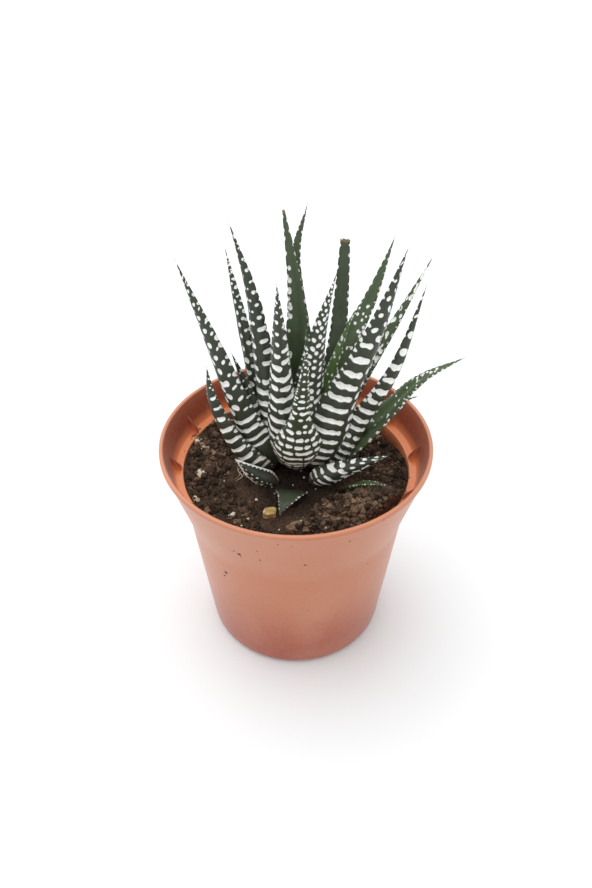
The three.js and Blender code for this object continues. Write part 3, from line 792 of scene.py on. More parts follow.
LEAF_MARKS = {
    "leaf_left_tall": {"first": 13.0, "gap": (2.9, 4.0), "bold": 0.5, "banded": 0.36,
                       "rows": ((-0.66, 1.1), (0.62, 0.8), (-0.05, 0.6)), "bead": 1.0, "teeth": 0.7,
                       "tooth_gap": 3.4},
    "leaf_centre_slim": {"gap": (2.7, 4.0), "bold": 0.5, "banded": 0.48, "rows": ((-0.3, 1.0), (0.7, 0.85)),
                         "bead": 1.0, "bow": 0.3},
    "leaf_centre_dotted": {"gap": (2.5, 3.1), "banded": 0.10, "rows": ((-0.5, 0.95), (0.0, 1.0), (0.55, 0.9)),
                           "bead": 0.95},
    "leaf_young_right": {"gap": (2.4, 3.6), "banded": 0.1, "bead": 0.5, "tone": 0.75, "specks": 16},
    "leaf_young_centre": {"gap": (2.4, 3.6), "banded": 0.1, "bead": 0.5, "tone": 0.85, "specks": 14},
    "leaf_back_tall": {"hollow": 0.10, "teeth": 0.62, "tooth_gap": 3.3, "dry": 0.9, "tone": 0.05,
                       "specks": 22, "speck": (0.45, 0.85), "field": (0.1, 0.78, 0.42, 0.9)},
    "leaf_back_broken": {"teeth": 0.55, "tooth_gap": 3.1, "dry": 0.7, "tone": 0.0, "shade": 0.6},
    "leaf_right_banded": {"first": 5.0, "gap": (3.1, 5.0), "bold": 0.47, "banded": 0.58,
                          "rows": ((-0.35, 1.0), (0.5, 1.0)), "bead": 1.05, "bow": -1.6, "dash": 0.05,
                          "split": 0.42},
    "leaf_right_channelled": {"hollow": 0.10, "teeth": 0.62, "tooth_gap": 3.0, "tone": 0.13, "specks": 46,
                              "speck": (0.25, 0.6), "field": (0.08, 0.62, -0.85, 0.85)},
    "leaf_right_far": {"teeth": 0.75, "tooth_gap": 2.6, "tone": 0.05, "specks": 44, "speck": (0.4, 0.8),
                       "field": (0.1, 0.93, -0.85, 0.85)},
    "leaf_back_curved": {"teeth": 0.4, "tone": 0.02},
    "leaf_left_second": {"first": 12.0, "gap": (2.5, 3.5), "banded": 0.25,
                         "rows": ((-0.55, 0.9), (0.1, 1.0), (0.68, 0.7)), "bead": 0.85, "teeth": 0.55},
    "leaf_right_outer": {"first": 6.0, "gap": (3.0, 4.6), "bold": 0.5, "banded": 0.86, "rows": ((0.0, 1.0),),
                         "bead": 0.9, "bow": -0.5, "dash": 0.12},
    "leaf_front": {"first": 1.6, "gap": (1.75, 3.4), "bold": 0.56, "banded": 0.46,
                   "rows": ((0.0, 1.15), (-0.82, 0.7), (0.84, 0.7)), "bead": 0.85, "bow": -0.8, "dash": 0.0,
                   "partings": (-0.62, -0.24, 0.26, 0.64), "tone": 0.10},
    "leaf_left_outer": {"first": 17.0, "gap": (3.1, 4.0), "bold": 0.44, "banded": 0.36,
                        "rows": ((-0.5, 1.0), (0.06, 1.0), (0.66, 0.5)), "bead": 1.0, "bow": 1.2},
    "leaf_left_third": {"first": 12.0, "gap": (2.6, 3.2), "banded": 0.5, "rows": ((-0.5, 0.8), (0.4, 0.8)),
                        "bead": 0.55, "bow": 1.0},
    "leaf_left_short": {"first": 5.0, "gap": (2.9, 3.8), "bold": 0.42, "banded": 0.62, "rows": ((0.45, 1.0),),
                        "bead": 0.75, "teeth": 0.6, "tooth_gap": 2.3, "dash": 0.45},
    "leaf_right_low": {"hollow": 0.10, "teeth": 0.55, "tooth_gap": 2.4, "specks": 34, "tone": 0.2,
                       "dry": 0.4},
    "leaf_right_spur": {"gap": (1.6, 2.4), "bead": 0.4, "teeth": 0.3},
    "leaf_old_left": {"gap": (1.7, 1.9), "banded": 0.0, "rows": ((-0.62, 1.2), (-0.15, 0.8)), "bead": 0.48,
                      "teeth": 0.25, "tooth_gap": 1.3, "piping": 0.62, "shade": 0.0},
    "leaf_old_right": {"first": 2.5, "gap": (2.7, 2.7), "bold": 0.46, "banded": 0.42, "slant": 1.6,
                       "rows": ((-0.72, 1.15), (0.0, 0.95), (0.72, 0.85)), "bead": 0.78, "bow": 0.4,
                       "dash": 0.0, "partings": (-0.35,), "teeth": 0.4, "tooth_gap": 1.9, "shade": 0.0},
    "leaf_old_front": {"banded": 0.0, "rows": (), "teeth": 0.34, "tooth_gap": 1.5, "shade": 0.25},
    "leaf_old_hidden": {"gap": (1.4, 1.6), "banded": 0.0, "bead": 0.5, "teeth": 0.3, "tooth_gap": 1.1,
                        "shade": 0.0, "tone": 0.3},
}
RIDGE_LIFT = 0.38        # height of a full band or bead over the skin, in mm
OUTER_STEPS = 64         # points over the banded face of a ring
INNER_STEPS = 36         # points over the plain face
RING_SPACING = 0.34      # mm between rings
ROOT_ROUND = 0.06        # share of the length over which the root end is rounded


def leaf_taper(leaf, along):
    """Width of a leaf along its length, as a share of its widest."""
    s = along * (1 - leaf.blunt)
    blade = np.maximum(1 - s ** leaf.fullness, 0) ** 1.15
    base = np.exp(-((s - 0.17) / 0.13) ** 2)
    root_share, root_reach = (0.75, 0.14) if leaf.clasp else (0.3, 0.4)
    narrowing = root_share + (1 - root_share) * np.sin(np.minimum(s / root_reach, 1) * np.pi / 2)
    return ((1 - leaf.clasp) * blade + leaf.clasp * base) * narrowing


def leaf_length(line):
    place, _ = middle_line(line, np.linspace(0, 1, 60))
    return float(np.linalg.norm(np.diff(place, axis=0), axis=1).sum())


def leaf_grid(leaf, along, turn, grow=0.0, hollow=0.0):
    """Points of a leaf for rings at shares of its length and turns about its middle line."""
    centre, forward = middle_line(above_soil(leaf.line), along)
    bearing = math.radians(leaf.seat)
    sideways = np.array((-math.sin(bearing), math.cos(bearing), 0.0))
    across = sideways - forward * (forward @ sideways)[:, None]
    across /= np.linalg.norm(across, axis=1, keepdims=True)
    outward = np.cross(across, forward)
    size = (leaf.width * leaf_taper(leaf, along))[:, None]
    size = size * np.sqrt(1 - (1 - np.minimum(along / ROOT_ROUND, 1)) ** 2)[:, None]
    x = np.cos(turn)[None, :]
    rise = 1 - np.abs(x) ** (2.1 + leaf.clasp)
    groove = hollow * size * np.exp(-(x / 0.4) ** 2)
    depth = np.where(np.sin(turn) > 0, size * leaf.keel * rise + grow, groove - size * 0.1 * rise - grow)
    depth = np.where(np.abs(x) > 0.9999, 0.0, depth)
    grid = (centre[:, None] + across[:, None] * (x * (size / 2 + grow))[..., None]
            + outward[:, None] * depth[..., None])
    return grid, size[:, 0], x[0], centre, forward


def leaf_cutter(leaf, grow):
    """A plain closed leaf, swollen all round, for cutting its neighbours and the soil."""
    along = np.linspace(0.004, 1.0 if leaf.blunt else 0.999, 40)
    turn = np.arange(28) / 28 * 2 * np.pi
    grid, _, _, centre, forward = leaf_grid(leaf, along, turn, grow)
    return skin("cutter_" + leaf.name, grid, centre[0] - forward[0] * grow, centre[-1] + forward[-1] * grow)


def band_marks(rng, style, length, half_width):
    """Strokes and beads on the outer face: (distance, middle, half length, radius, stretch)."""
    strokes = []

    def lay(distance, middle, reach, radius, stretch=1.0):
        """Adds a stroke where it keeps clear of those already laid."""
        for other_distance, other_middle, other_reach, other_radius, other_stretch in strokes:
            off_end = max(abs(middle - other_middle) - reach - other_reach, 0)
            off_line = (distance - other_distance) * min(stretch, other_stretch)
            if math.hypot(off_line, off_end) < (radius + other_radius) * 0.9 + 0.1:
                return
        strokes.append((distance, middle, reach, radius, stretch))

    distance = style["first"]
    while distance < length - 1.2:
        share = distance / length
        gap = style["gap"][0] + (style["gap"][1] - style["gap"][0]) * min(share / 0.55, 1)
        half = half_width(distance)
        if half < 0.3:
            break
        if share < style["banded"]:
            radius = gap * style["bold"] / 2 * rng.uniform(0.92, 1.1)
            stops = [-half * rng.uniform(0.88, 0.98), half * min(rng.uniform(0.88, 0.98), style["split"])]
            partings = [(place + rng.uniform(-0.1, 0.1)) * half for place in style["partings"]]
            if rng.random() < style["dash"] and half > 2.5:
                partings.append(rng.uniform(-0.4, 0.4) * half)
            stops[1:1] = [place for place in partings if rng.random() < 0.85 or len(partings) < 2]
            for start, end in zip(stops[:-1], stops[1:]):
                start, end = start + 0.13 * (start > stops[0]), end - 0.13 * (end < stops[-1])
                middle = (start + end) / 2
                nudge = rng.uniform(-0.12, 0.12) * (1 + len(style["partings"]) / 4)
                lay(distance + nudge, middle, max((end - start) / 2 - radius, 0), radius)
            if style["split"] < 1:
                bead = min(radius, half * 0.2) * 1.1
                lay(distance + gap * 0.35, half * (style["split"] + 0.34), 0.15, bead, 0.7)
        else:
            late = (share - style["banded"]) / max(1 - style["banded"], 0.01)
            for k, (position, size) in enumerate(style["rows"]):
                shift = gap * 0.5 * (k % 2)
                middle = (position + rng.uniform(-0.06, 0.06)) * half
                radius = style["bead"] * size * rng.uniform(0.85, 1.1) * min(1.0, 0.42 + half / 5.0)
                radius = min(radius * (1 - 0.35 * late), half * 0.8)
                reach = radius * rng.uniform(0.3, 0.9) if late < 0.25 else 0.0
                stretch = 1.0 - 0.45 * late * rng.uniform(0.7, 1.1)
                lay(distance + shift + rng.uniform(-0.15, 0.15), middle, reach, radius, stretch)
        distance += gap * rng.uniform(0.94, 1.06)
    return strokes


def edge_marks(rng, style, length, half_width):
    """Teeth along both edges: (distance, side, radius, height, how much of it is green)."""
    teeth = []
    for side in (-1, 1):
        distance = length * 0.06 + rng.uniform(0, 1.5)
        while distance < length - 1.2:
            size = min(1.0, 0.35 + half_width(distance) / 4.0)
            radius = style["tooth_gap"] * rng.uniform(0.26, 0.40) * (0.5 + 0.5 * size)
            height = style["teeth"] * size * rng.uniform(0.65, 1.25)
            teeth.append((distance, side, radius, height, rng.uniform(0.05, 0.55)))
            distance += style["tooth_gap"] * rng.uniform(0.7, 1.3)
    return teeth


def make_leaf(leaf, number):
    """A leaf's finished blade, with its marks raised on the skin and kept for the material."""
    rng = random.Random(100 + number)
    style = {**PLAIN_MARKS, **LEAF_MARKS.get(leaf.name, {})}
    length = leaf_length(leaf.line)
    rings = int(length / RING_SPACING)
    along = np.concatenate([ROOT_ROUND * (1 - np.cos(np.linspace(0.12, np.pi / 2, 10))),
                            np.linspace(ROOT_ROUND, 1.0 if leaf.blunt else 0.9985, rings)[1:]])
    turn = np.concatenate([np.linspace(0, np.pi, OUTER_STEPS, endpoint=False),
                           np.linspace(np.pi, 2 * np.pi, INNER_STEPS, endpoint=False)])
    grid, size, x, centre, forward = leaf_grid(leaf, along, turn, 0.0, style["hollow"])
    outer = np.sin(turn) >= -1e-9

    half = np.maximum(size / 2, 0.05)[:, None]
    across = x[None, :] * half
    distance = np.broadcast_to(along[:, None] * length, across.shape)
    wander = (0.10 * np.sin(1.1 * across + 0.5 * distance + rng.uniform(0, 6))
              + 0.05 * np.sin(2.9 * across - 0.9 * distance + rng.uniform(0, 6)))
    level = distance - style["bow"] * x[None, :] ** 2 - style["slant"] * x[None, :] + wander

    def half_width(place):
        return float(np.interp(place, along * length, size)) / 2

    uneven = 1 + 0.15 * np.sin(2.3 * across + 0.8 * distance + rng.uniform(0, 6))
    ridge = np.full(level.shape, -1.0)
    lift = np.zeros(level.shape)
    for middle, offset, reach, radius, stretch in band_marks(rng, style, length, half_width):
        off_line = (level - middle) * stretch
        off_end = np.maximum(np.abs(across - offset) - reach, 0)
        near = 1 - np.hypot(off_line, off_end) / (radius * uneven)
        near = np.where(outer[None, :], near, -1.0)
        ridge = np.maximum(ridge, near)
        dome = np.clip(1 - (1 - near) ** 2, 0, 1) ** 0.75
        lift = np.maximum(lift, RIDGE_LIFT * min(radius / 0.75, 1.1) * dome)
    from_edge = (1 - np.abs(x[None, :])) * half
    for middle, side, radius, height, greened in edge_marks(rng, style, length, half_width):
        away = np.hypot((distance - middle) / radius, from_edge / (0.42 + 0.14 * half))
        near = np.where(np.sign(x[None, :]) == side, 1 - away, -1.0)
        ridge = np.maximum(ridge, near - greened)
        lift = np.maximum(lift, height * np.clip(near, 0, 1) ** 0.8)
    if style["piping"]:
        width_here = style["piping"] * (0.75 + 0.25 * np.sin(distance * 2 * np.pi / style["tooth_gap"]))
        near = 1 - from_edge / width_here
        ridge = np.maximum(ridge, near)
        lift = np.maximum(lift, 0.10 * np.clip(near, 0, 1))
    near_root, near_tip, one_side, other_side = style["field"]
    for _ in range(style["specks"]):
        middle = rng.uniform(near_root, near_tip) * length
        offset = rng.uniform(one_side, other_side) * half_width(middle)
        radius = rng.uniform(*style["speck"])
        near = 1 - np.hypot((distance - middle) * 0.7, across - offset) / radius
        near = np.where(outer[None, :], -1.0, near)
        ridge = np.maximum(ridge, near)
        lift = np.maximum(lift, 0.45 * radius * np.clip(near, 0, 1) ** 0.7)

    lift *= np.minimum(half / 1.2, 1.0)
    soft = 0.10 * np.sin(0.55 * distance + rng.uniform(0, 6)) * np.sin(0.8 * across + rng.uniform(0, 6))
    grid = grid + grid_normals(grid) * (lift + soft * np.minimum(half / 3, 1))[..., None]

    last_pole = centre[-1]
    if leaf.blunt:
        grid, rings_added = add_torn_end(rng, grid, centre[-1], forward[-1])
        ridge, distance, across = [np.pad(values, ((0, rings_added), (0, 0)), mode="edge")
                                   for values in (ridge, distance, across)]
        ridge[-rings_added:] = -1.0
        last_pole = centre[-1] - forward[-1] * 0.7
    made = skin(leaf.name + "_blade", grid, centre[0] - forward[0] * 0.02, last_pole)

    dry_from = 0.985 if leaf.blunt else 0.92
    dry = np.clip((distance / length - dry_from) / (1 - dry_from), 0, 1) * style["dry"]
    inner = np.broadcast_to(np.where(outer, 0.0, style["shade"])[None, :], ridge.shape)
    tone = np.full(ridge.shape, style["tone"])
    ends = [[0, 0, 0], [0, length, 0]]
    store(made, "place", np.concatenate([np.stack([across, distance, inner], -1).reshape(-1, 3), ends]))
    ends = [[-1, 0, style["tone"]], [-1, style["dry"], style["tone"]]]
    store(made, "marks", np.concatenate([np.stack([ridge, dry, tone], -1).reshape(-1, 3), ends]))
    return made


def add_torn_end(rng, grid, centre, forward):
    """Rings that close a broken leaf with an uneven, slightly sunken face."""
    rim = grid[-1]
    rag = np.array([0.16 * math.sin(5 * t + 1) + 0.12 * math.sin(11 * t) + rng.uniform(-0.06, 0.06)
                    for t in np.linspace(0, 2 * math.pi, len(rim), endpoint=False)])
    shapes = ((1.03, 0.3), (0.95, 0.45), (0.8, 0.1), (0.55, -0.35), (0.25, -0.5))
    added = []
    for shrink, rise in shapes:
        lift = rise + (rag if rise > 0.1 else rag * 0.3)
        added.append(centre + (rim - centre) * shrink + forward * lift[:, None])
    return np.concatenate([grid, np.array(added)]), len(shapes)


# ---- Stem and roots ----

STEM_RADIUS = 4.2
STEM_ABOVE = 5.0
STEM_BELOW = 14.0
STEM_Y = 1.0             # the stem stands a little behind the pot's axis


def make_stem():
    """A short stem ringed with the scars of fallen leaves."""
    low = SOIL_LEVEL - STEM_BELOW
    corners = [(0.0, low, 0), (0.6, low, 0), (STEM_RADIUS - 1.4, low, 0.8), (STEM_RADIUS, low + 3, 2.0),
               (STEM_RADIUS - 0.4, SOIL_LEVEL, 2.0), (STEM_RADIUS - 2, SOIL_LEVEL + STEM_ABOVE - 1.5, 1.2),
               (0.5, SOIL_LEVEL + STEM_ABOVE, 0.4), (0.0, SOIL_LEVEL + STEM_ABOVE, 0)]
    outline = spread(rounded(corners), 0.3)
    turn = np.arange(72) / 72 * 2 * np.pi
    height = outline[:, 1:]
    scars = 0.16 * np.abs(np.sin(height * 1.9 + 0.35 * np.sin(3 * turn[None, :])))
    radius = np.maximum(outline[:, :1] - scars, 0.2)
    grid = np.stack([radius * np.cos(turn), radius * np.sin(turn) + STEM_Y,
                     np.repeat(height, len(turn), 1)], -1)
    stem = skin("stem_core", grid, (0, STEM_Y, low), (0, STEM_Y, SOIL_LEVEL + STEM_ABOVE))
    return finish_piece(stem, stem_wood, "stem", "stem")


def make_stem_cutter():
    """A plain stem, swollen all round, for cutting the leaves, the roots and the soil."""
    low, high = SOIL_LEVEL - STEM_BELOW, SOIL_LEVEL + STEM_ABOVE
    outline = np.array([(STEM_RADIUS - 1.1, low - GAP), (STEM_RADIUS + GAP, low + 3),
                        (STEM_RADIUS - 0.1, SOIL_LEVEL), (STEM_RADIUS - 1.7, high - 1.5), (0.5, high + GAP)])
    cutter = lathe("cutter_stem", outline, 24, (low - GAP, high + GAP))
    cutter.data.transform(Matrix.Translation((0, STEM_Y * MM, 0)))
    return cutter


ROOT_RADIUS = 1.5
ROOTS = [
    ("root_front", ((0.5, -1.5, -10.5), (3, -12, -20), (2, -18, -33), (5, -20, -46))),
    ("root_right", ((2.5, 1, -11), (13, 3, -18), (17, 5, -31), (16, 9, -44))),
    ("root_back_right", ((1.5, 3, -10), (9, 13, -17), (10, 19, -30), (6, 21, -42))),
    ("root_back_left", ((-1.5, 3, -11), (-9, 12, -19), (-13, 14, -33), (-12, 13, -48))),
    ("root_left", ((-2.5, 1, -10), (-14, -2, -17), (-19, -4, -30), (-17, -8, -43))),
]


def tube(name, line, radius_at, rings, sides):
    """A round tapering rod along a smooth line. radius_at gives its radius at shares of its length."""
    along = np.linspace(0, 1, rings)
    centre, forward = middle_line(line, along)
    helper = np.array((0.31, 0.22, 0.92))
    across = np.cross(forward, helper)
    across /= np.linalg.norm(across, axis=1, keepdims=True)
    outward = np.cross(across, forward)
    turn = np.arange(sides) / sides * 2 * np.pi
    radius = radius_at(along)[:, None, None]
    grid = centre[:, None] + radius * (across[:, None] * np.cos(turn)[None, :, None]
                                       + outward[:, None] * np.sin(turn)[None, :, None])
    return skin(name, grid, centre[0], centre[-1])


def make_root(name, line):
    """A thick fleshy root with faint rings and a rounded tip."""
    def radius_at(along):
        rings = 0.05 * np.sin(along * 90) + 0.06 * np.sin(along * 37)
        tip = np.sqrt(np.clip((1.004 - along) / 0.05, 0, 1))
        return (ROOT_RADIUS * (1 - 0.35 * along) + rings) * tip

    return tube(name + "_strand", above_soil(line), radius_at, 120, 20)


def root_cutter(name, line):
    """A plain root, swollen all round, for cutting the soil."""
    def radius_at(along):
        return np.full_like(along, ROOT_RADIUS + GAP)

    return tube("cutter_" + name, above_soil(line), radius_at, 40, 12)


# ---- Soil and what lies on it ----

# Low hollows and heaps of the soil's surface: x, y, radius and height in mm.
HEAPS = [
    (26, 14, 12, -4.5), (-22, 12, 10, 0.6), (-14, -20, 12, 1.0), (0, -2, 13, 1.0),
    (6, -29, 12, 1.0), (-27, -12, 9, -0.6),
]


def soil_height(x, y):
    """Height of the soil's surface above the soil level, for numbers or arrays."""
    height = -0.6
    for heap_x, heap_y, radius, lift in HEAPS:
        height = height + lift * np.exp(-((x - heap_x) ** 2 + (y - heap_y) ** 2) / radius ** 2)
    return height


SOIL_RINGS = 150
SOIL_SIDES = 420
SOIL_EDGE_GAP = 0.12     # mm between the soil's rim and the ledge


def make_soil(cutters):
    """The plug of soil, with a crumbly top, cut round what stands in it."""
    edge = LEDGE_INNER_RADIUS - SOIL_EDGE_GAP
    bottom = BASE_THICKNESS + GAP
    wall = [(pot_inside(max(z, BASE_THICKNESS + 2)) - GAP - 0.1, z)
            for z in (bottom + 2.2, 20, 36, COLLAR_FOOT)]
    outline = np.array([(1.0, bottom), (12.0, bottom), (wall[0][0] - 2.2, bottom), *wall,
                        (pot_inside(SOIL_LEVEL - 6) - 0.15, SOIL_LEVEL - 6)])
    top_radius = edge * np.linspace(1, 0.006, SOIL_RINGS) ** 0.86
    turn = np.arange(SOIL_SIDES) / SOIL_SIDES * 2 * np.pi
    x = top_radius[:, None] * np.cos(turn)
    y = top_radius[:, None] * np.sin(turn)
    z = SOIL_LEVEL + soil_height(x, y)
    fade = np.clip((edge - top_radius) / 1.5, 0, 1)
    for i in range(SOIL_RINGS):
        for j in range(SOIL_SIDES):
            z[i, j] += crumble(x[i, j], y[i, j]) * (0.25 + 0.75 * fade[i])
    top = np.stack([x, y, z], -1)
    centre = (0, 0, SOIL_LEVEL + soil_height(0, 0))
    soil = skin("potting_soil", np.concatenate([turned(outline, SOIL_SIDES), top]), (0, 0, bottom), centre)
    combine(soil, cutters, "DIFFERENCE")
    keep_largest(soil)
    return finish_piece(soil, damp_peat, "soil", "soil")


def crumble(x, y):
    """Small lumps in the soil's surface, in mm."""
    coarse = noise.noise((x * 0.32, y * 0.32, 1.0))
    medium = noise.noise((x * 0.9, y * 0.9, 5.0))
    fine = noise.noise((x * 2.2, y * 2.2, 9.0))
    return 0.9 * coarse + 0.6 * medium + 0.3 * fine


def ball(detail):
    """Points and faces of a ball of radius 1, for lumps."""
    shape = bmesh.new()
    bmesh.ops.create_icosphere(shape, subdivisions=detail, radius=1.0)
    points = np.array([v.co for v in shape.verts])
    faces = np.array([[v.index for v in f.verts] for f in shape.faces], np.int32)
    shape.free()
    return points, faces


def lump_points(points, lump):
    """A ball's points made into a lump's plain shape, in mm."""
    swell = (1 + 0.1 * np.sin(3 * points[:, 0] + 5 * points[:, 1] + lump.turn)
             + 0.08 * np.sin(6 * points[:, 2] + lump.turn))
    shaped = rotated(points * swell[:, None] * np.array(lump.size), math.radians(lump.turn))
    x, y, lift = lump.at
    return shaped + np.array((x, y, SOIL_LEVEL + soil_height(x, y) + lift))


def kept_inside(points, radius):
    """The points with any that lie outside a radius about the pot's axis drawn in to it."""
    reach = np.hypot(points[:, 0], points[:, 1])
    share = np.minimum(radius / np.maximum(reach, 1e-6), 1)
    return np.stack([points[:, 0] * share, points[:, 1] * share, points[:, 2]], -1)


ROOM_RADIUS = LEDGE_INNER_RADIUS - GAP - 0.5

# size: radii in x, y and z. turn: degrees about the upright axis. at: place (x, y, height over the soil).
# detail: of the ball it is made from. rough: depth of the skin's bumps in mm. spacing: mm between bumps.
Lump = namedtuple("Lump", "name material slot size turn at detail rough spacing")
CLUMP_X, CLUMP_Y = 20, -21.5
LUMPS = [
    Lump("peat_clump", dry_peat, "peat_fibre", (14, 8, 4.5), 20, (CLUMP_X, CLUMP_Y, 1.4), 7, 1.6, 2.1),
    Lump("bark_chip_front", bark_brown, "bark", (4.2, 2.2, 1.1), 5, (1.5, -29, 0.5), 5, 0.22, 1.1),
    Lump("bark_chip_right", bark_brown, "bark", (1.9, 1.2, 0.8), 40, (27, 9, 0.4), 4, 0.15, 0.8),
    Lump("pebble_ochre", ochre_stone, "pebble", (2.2, 1.7, 1.4), 30, (-7.8, -23.4, 0.9), 5, 0.14, 1.1),
    Lump("pebble_beige", beige_stone, "pebble", (2, 1.6, 2.4), 60, (-12.5, 13, 2.2), 5, 0.14, 1.1),
    Lump("perlite_1", pale_perlite, "perlite", (1.3, 1, 0.9), 10, (-32.3, 11.5, 0.5), 4, 0.22, 0.6),
    Lump("perlite_2", pale_perlite, "perlite", (1.7, 1.2, 1), 75, (-29.6, 8, 0.5), 5, 0.24, 0.6),
    Lump("perlite_3", pale_perlite, "perlite", (1.9, 1.4, 1), 120, (-29.9, -4.2, 0.5), 5, 0.24, 0.6),
    Lump("perlite_4", pale_perlite, "perlite", (1.3, 1, 0.8), 160, (-30.6, -15.6, 0.4), 4, 0.2, 0.6),
    Lump("perlite_5", pale_perlite, "perlite", (0.9, 0.8, 0.7), 30, (-19, -23.4, 0.4), 4, 0.12, 0.6),
]


def make_lump(lump):
    """A rough lump that lies on the soil."""
    points, faces = ball(lump.detail)
    shaped = lump_points(points, lump)
    for i, point in enumerate(shaped):
        place = Vector(point) / lump.spacing
        bumps = noise.noise(place) + 0.5 * noise.noise(place * 2.3) + 0.3 * noise.noise(place * 5.1)
        shaped[i] += points[i] * lump.rough * bumps
    return mesh_object(lump.name + "_lump", kept_inside(shaped, ROOM_RADIUS), [], faces)


class Heap:
    """Many small closed bits gathered into one object, with a tone for each bit."""

    def __init__(self):
        self.points, self.faces, self.tones, self.count = [], [], [], 0

    def add(self, points, faces, tone):
        self.points.append(points)
        self.faces.append(faces + self.count)
        self.tones.append(np.full(len(points), tone))
        self.count += len(points)

    def gather(self, name, material, slot):
        made = mesh_object(name, np.concatenate(self.points), [], np.concatenate(self.faces))
        tones = np.concatenate(self.tones)
        store(made, "tone", np.stack([tones, tones, tones], -1))
        return finish_piece(made, material, slot)


def crumb_points(rng, points, radius):
    """A small angular crumb about the origin."""
    squash = np.array((rng.uniform(0.75, 1.25), rng.uniform(0.7, 1.1), rng.uniform(0.55, 0.9)))
    phase = rng.uniform(0, 9)
    rough = 1 + 0.22 * np.sin(4.1 * points[:, 0] + 3.3 * points[:, 1] + phase) \
        + 0.16 * np.sin(6.3 * points[:, 2] - 5.1 * points[:, 0] + 2 * phase)
    shaped = points * rough[:, None] * squash * radius
    return rotated(shaped, rng.uniform(0, 2 * math.pi))


def place_in_disc(rng, radius):
    """A random place within a radius of the pot's axis."""
    reach = radius * math.sqrt(rng.random())
    bearing = rng.uniform(0, 2 * math.pi)
    return reach * math.cos(bearing), reach * math.sin(bearing)


def place_on_clump(rng, spread_x, spread_y):
    """A random place about the middle of the peat clump."""
    return CLUMP_X + rng.gauss(0, spread_x), CLUMP_Y + rng.gauss(0, spread_y)


def make_crumbs(clear_of):
    """Loose crumbs of peat over the soil, thicker on the clump and a few on the ledge."""
    rng = random.Random(11)
    heap = Heap()
    small, large = ball(2), ball(3)
    for _ in range(3000):
        radius = 0.26 + 0.95 * rng.random() ** 3.4
        x, y = place_in_disc(rng, LEDGE_INNER_RADIUS - 0.2 - radius)
        ground = surface_at(x, y)
        if ground is None or crowded(clear_of, x, y, ground, radius):
            continue
        # painted shade: crumbs are darker about the plant's base, where the plant shades them; the rest of
        # the tone varies at random
        crumb_plant_shade = 0.5 * math.exp(-(x * x + (y + 7) ** 2) / 150)
        dry = 0.18 + 0.5 * noise.noise((x * 0.12, y * 0.12, 3.0)) - crumb_plant_shade
        tone = min(max(rng.gauss(dry, 0.24), 0.05), 1.0)
        points, faces = large if radius > 0.7 else small
        crumb = crumb_points(rng, points, radius)
        heap.add(crumb + np.array((x, y, ground + 0.25 * radius)), faces, tone)
    for _ in range(1700):
        x, y = place_on_clump(rng, 6.5, 4.5)
        radius = 0.2 + 0.9 * rng.random() ** 3.0
        ground = surface_at(x, y) if math.hypot(x, y) < LEDGE_INNER_RADIUS - 0.2 - radius else None
        if ground is None or crowded(clear_of, x, y, ground, radius):
            continue
        points, faces = large if radius > 0.7 else small
        crumb = crumb_points(rng, points, radius)
        heap.add(crumb + np.array((x, y, ground + rng.uniform(-0.1, 0.9) * radius)), faces,
                 min(max(rng.gauss(0.42, 0.26), 0.12), 1.0))
    for _ in range(14):
        bearing = rng.choice((rng.gauss(-0.75, 0.25), rng.gauss(2.75, 0.12)))
        reach = rng.uniform(LEDGE_INNER_RADIUS + 0.1, LEDGE_INNER_RADIUS + 1.1)
        radius = rng.uniform(0.2, 0.5)
        crumb = crumb_points(rng, small[0], radius)
        place = np.array((reach * math.cos(bearing), reach * math.sin(bearing), SOIL_LEVEL + 0.45 * radius))
        heap.add(crumb + place, small[1], rng.uniform(0.4, 1.0))
    return heap.gather("soil_crumbs", loose_peat, "soil")


def make_grit():
    """Tiny pale grains among the crumbs."""
    rng = random.Random(23)
    heap = Heap()
    small = ball(2)
    for _ in range(120):
        radius = rng.uniform(0.14, 0.32) if rng.random() < 0.85 else rng.uniform(0.35, 0.55)
        x, y = place_in_disc(rng, ROOM_RADIUS - 0.7)
        ground = surface_at(x, y)
        if ground is not None:
            crumb = crumb_points(rng, small[0], radius)
            heap.add(crumb + np.array((x, y, ground + 0.5 * radius)), small[1], rng.uniform(0.3, 1.0))
    return heap.gather("pale_grit", pale_grains, "perlite")


def make_fibres(clear_of):
    """Fine peat fibres lying over the soil and the clump."""
    rng = random.Random(31)
    heap = Heap()
    for _ in range(620):
        on_clump = rng.random() < 0.6
        x, y = place_on_clump(rng, 6, 3.5) if on_clump else place_in_disc(rng, ROOM_RADIUS - 2)
        length = rng.uniform(1.2, 4.2)
        way = rng.uniform(0, 2 * math.pi)
        line = []
        for k in range(4):
            px = x + (k - 1.5) / 3 * length * math.cos(way) + rng.gauss(0, 0.25)
            py = y + (k - 1.5) / 3 * length * math.sin(way) + rng.gauss(0, 0.25)
            ground = surface_at(px, py) if math.hypot(px, py) < ROOM_RADIUS - 0.6 else None
            if ground is None or crowded(clear_of, px, py, ground, 0.4):
                break
            line.append((px, py, ground + 0.1 + rng.uniform(0.0, 0.55)))
        if len(line) == 4:
            add_strand(heap, line, rng.uniform(0.07, 0.14), rng.uniform(0.35, 1.0))
    return heap.gather("peat_fibres", loose_peat, "peat_fibre")


def add_strand(heap, line, radius, tone, rings=9, sides=6):
    """Adds one thin tapering strand to a heap of bits."""
    def radius_at(along):
        return radius * np.sqrt(np.clip(1.02 - (2 * along - 1) ** 2, 0.02, 1))

    strand = tube("strand", line, radius_at, rings, sides)
    points = np.array([v.co for v in strand.data.vertices]) / MM
    strand.data.calc_loop_triangles()
    faces = np.array([t.vertices[:] for t in strand.data.loop_triangles], np.int32)
    heap.add(points, faces, tone)
    mesh = strand.data
    bpy.data.objects.remove(strand)
    bpy.data.meshes.remove(mesh)


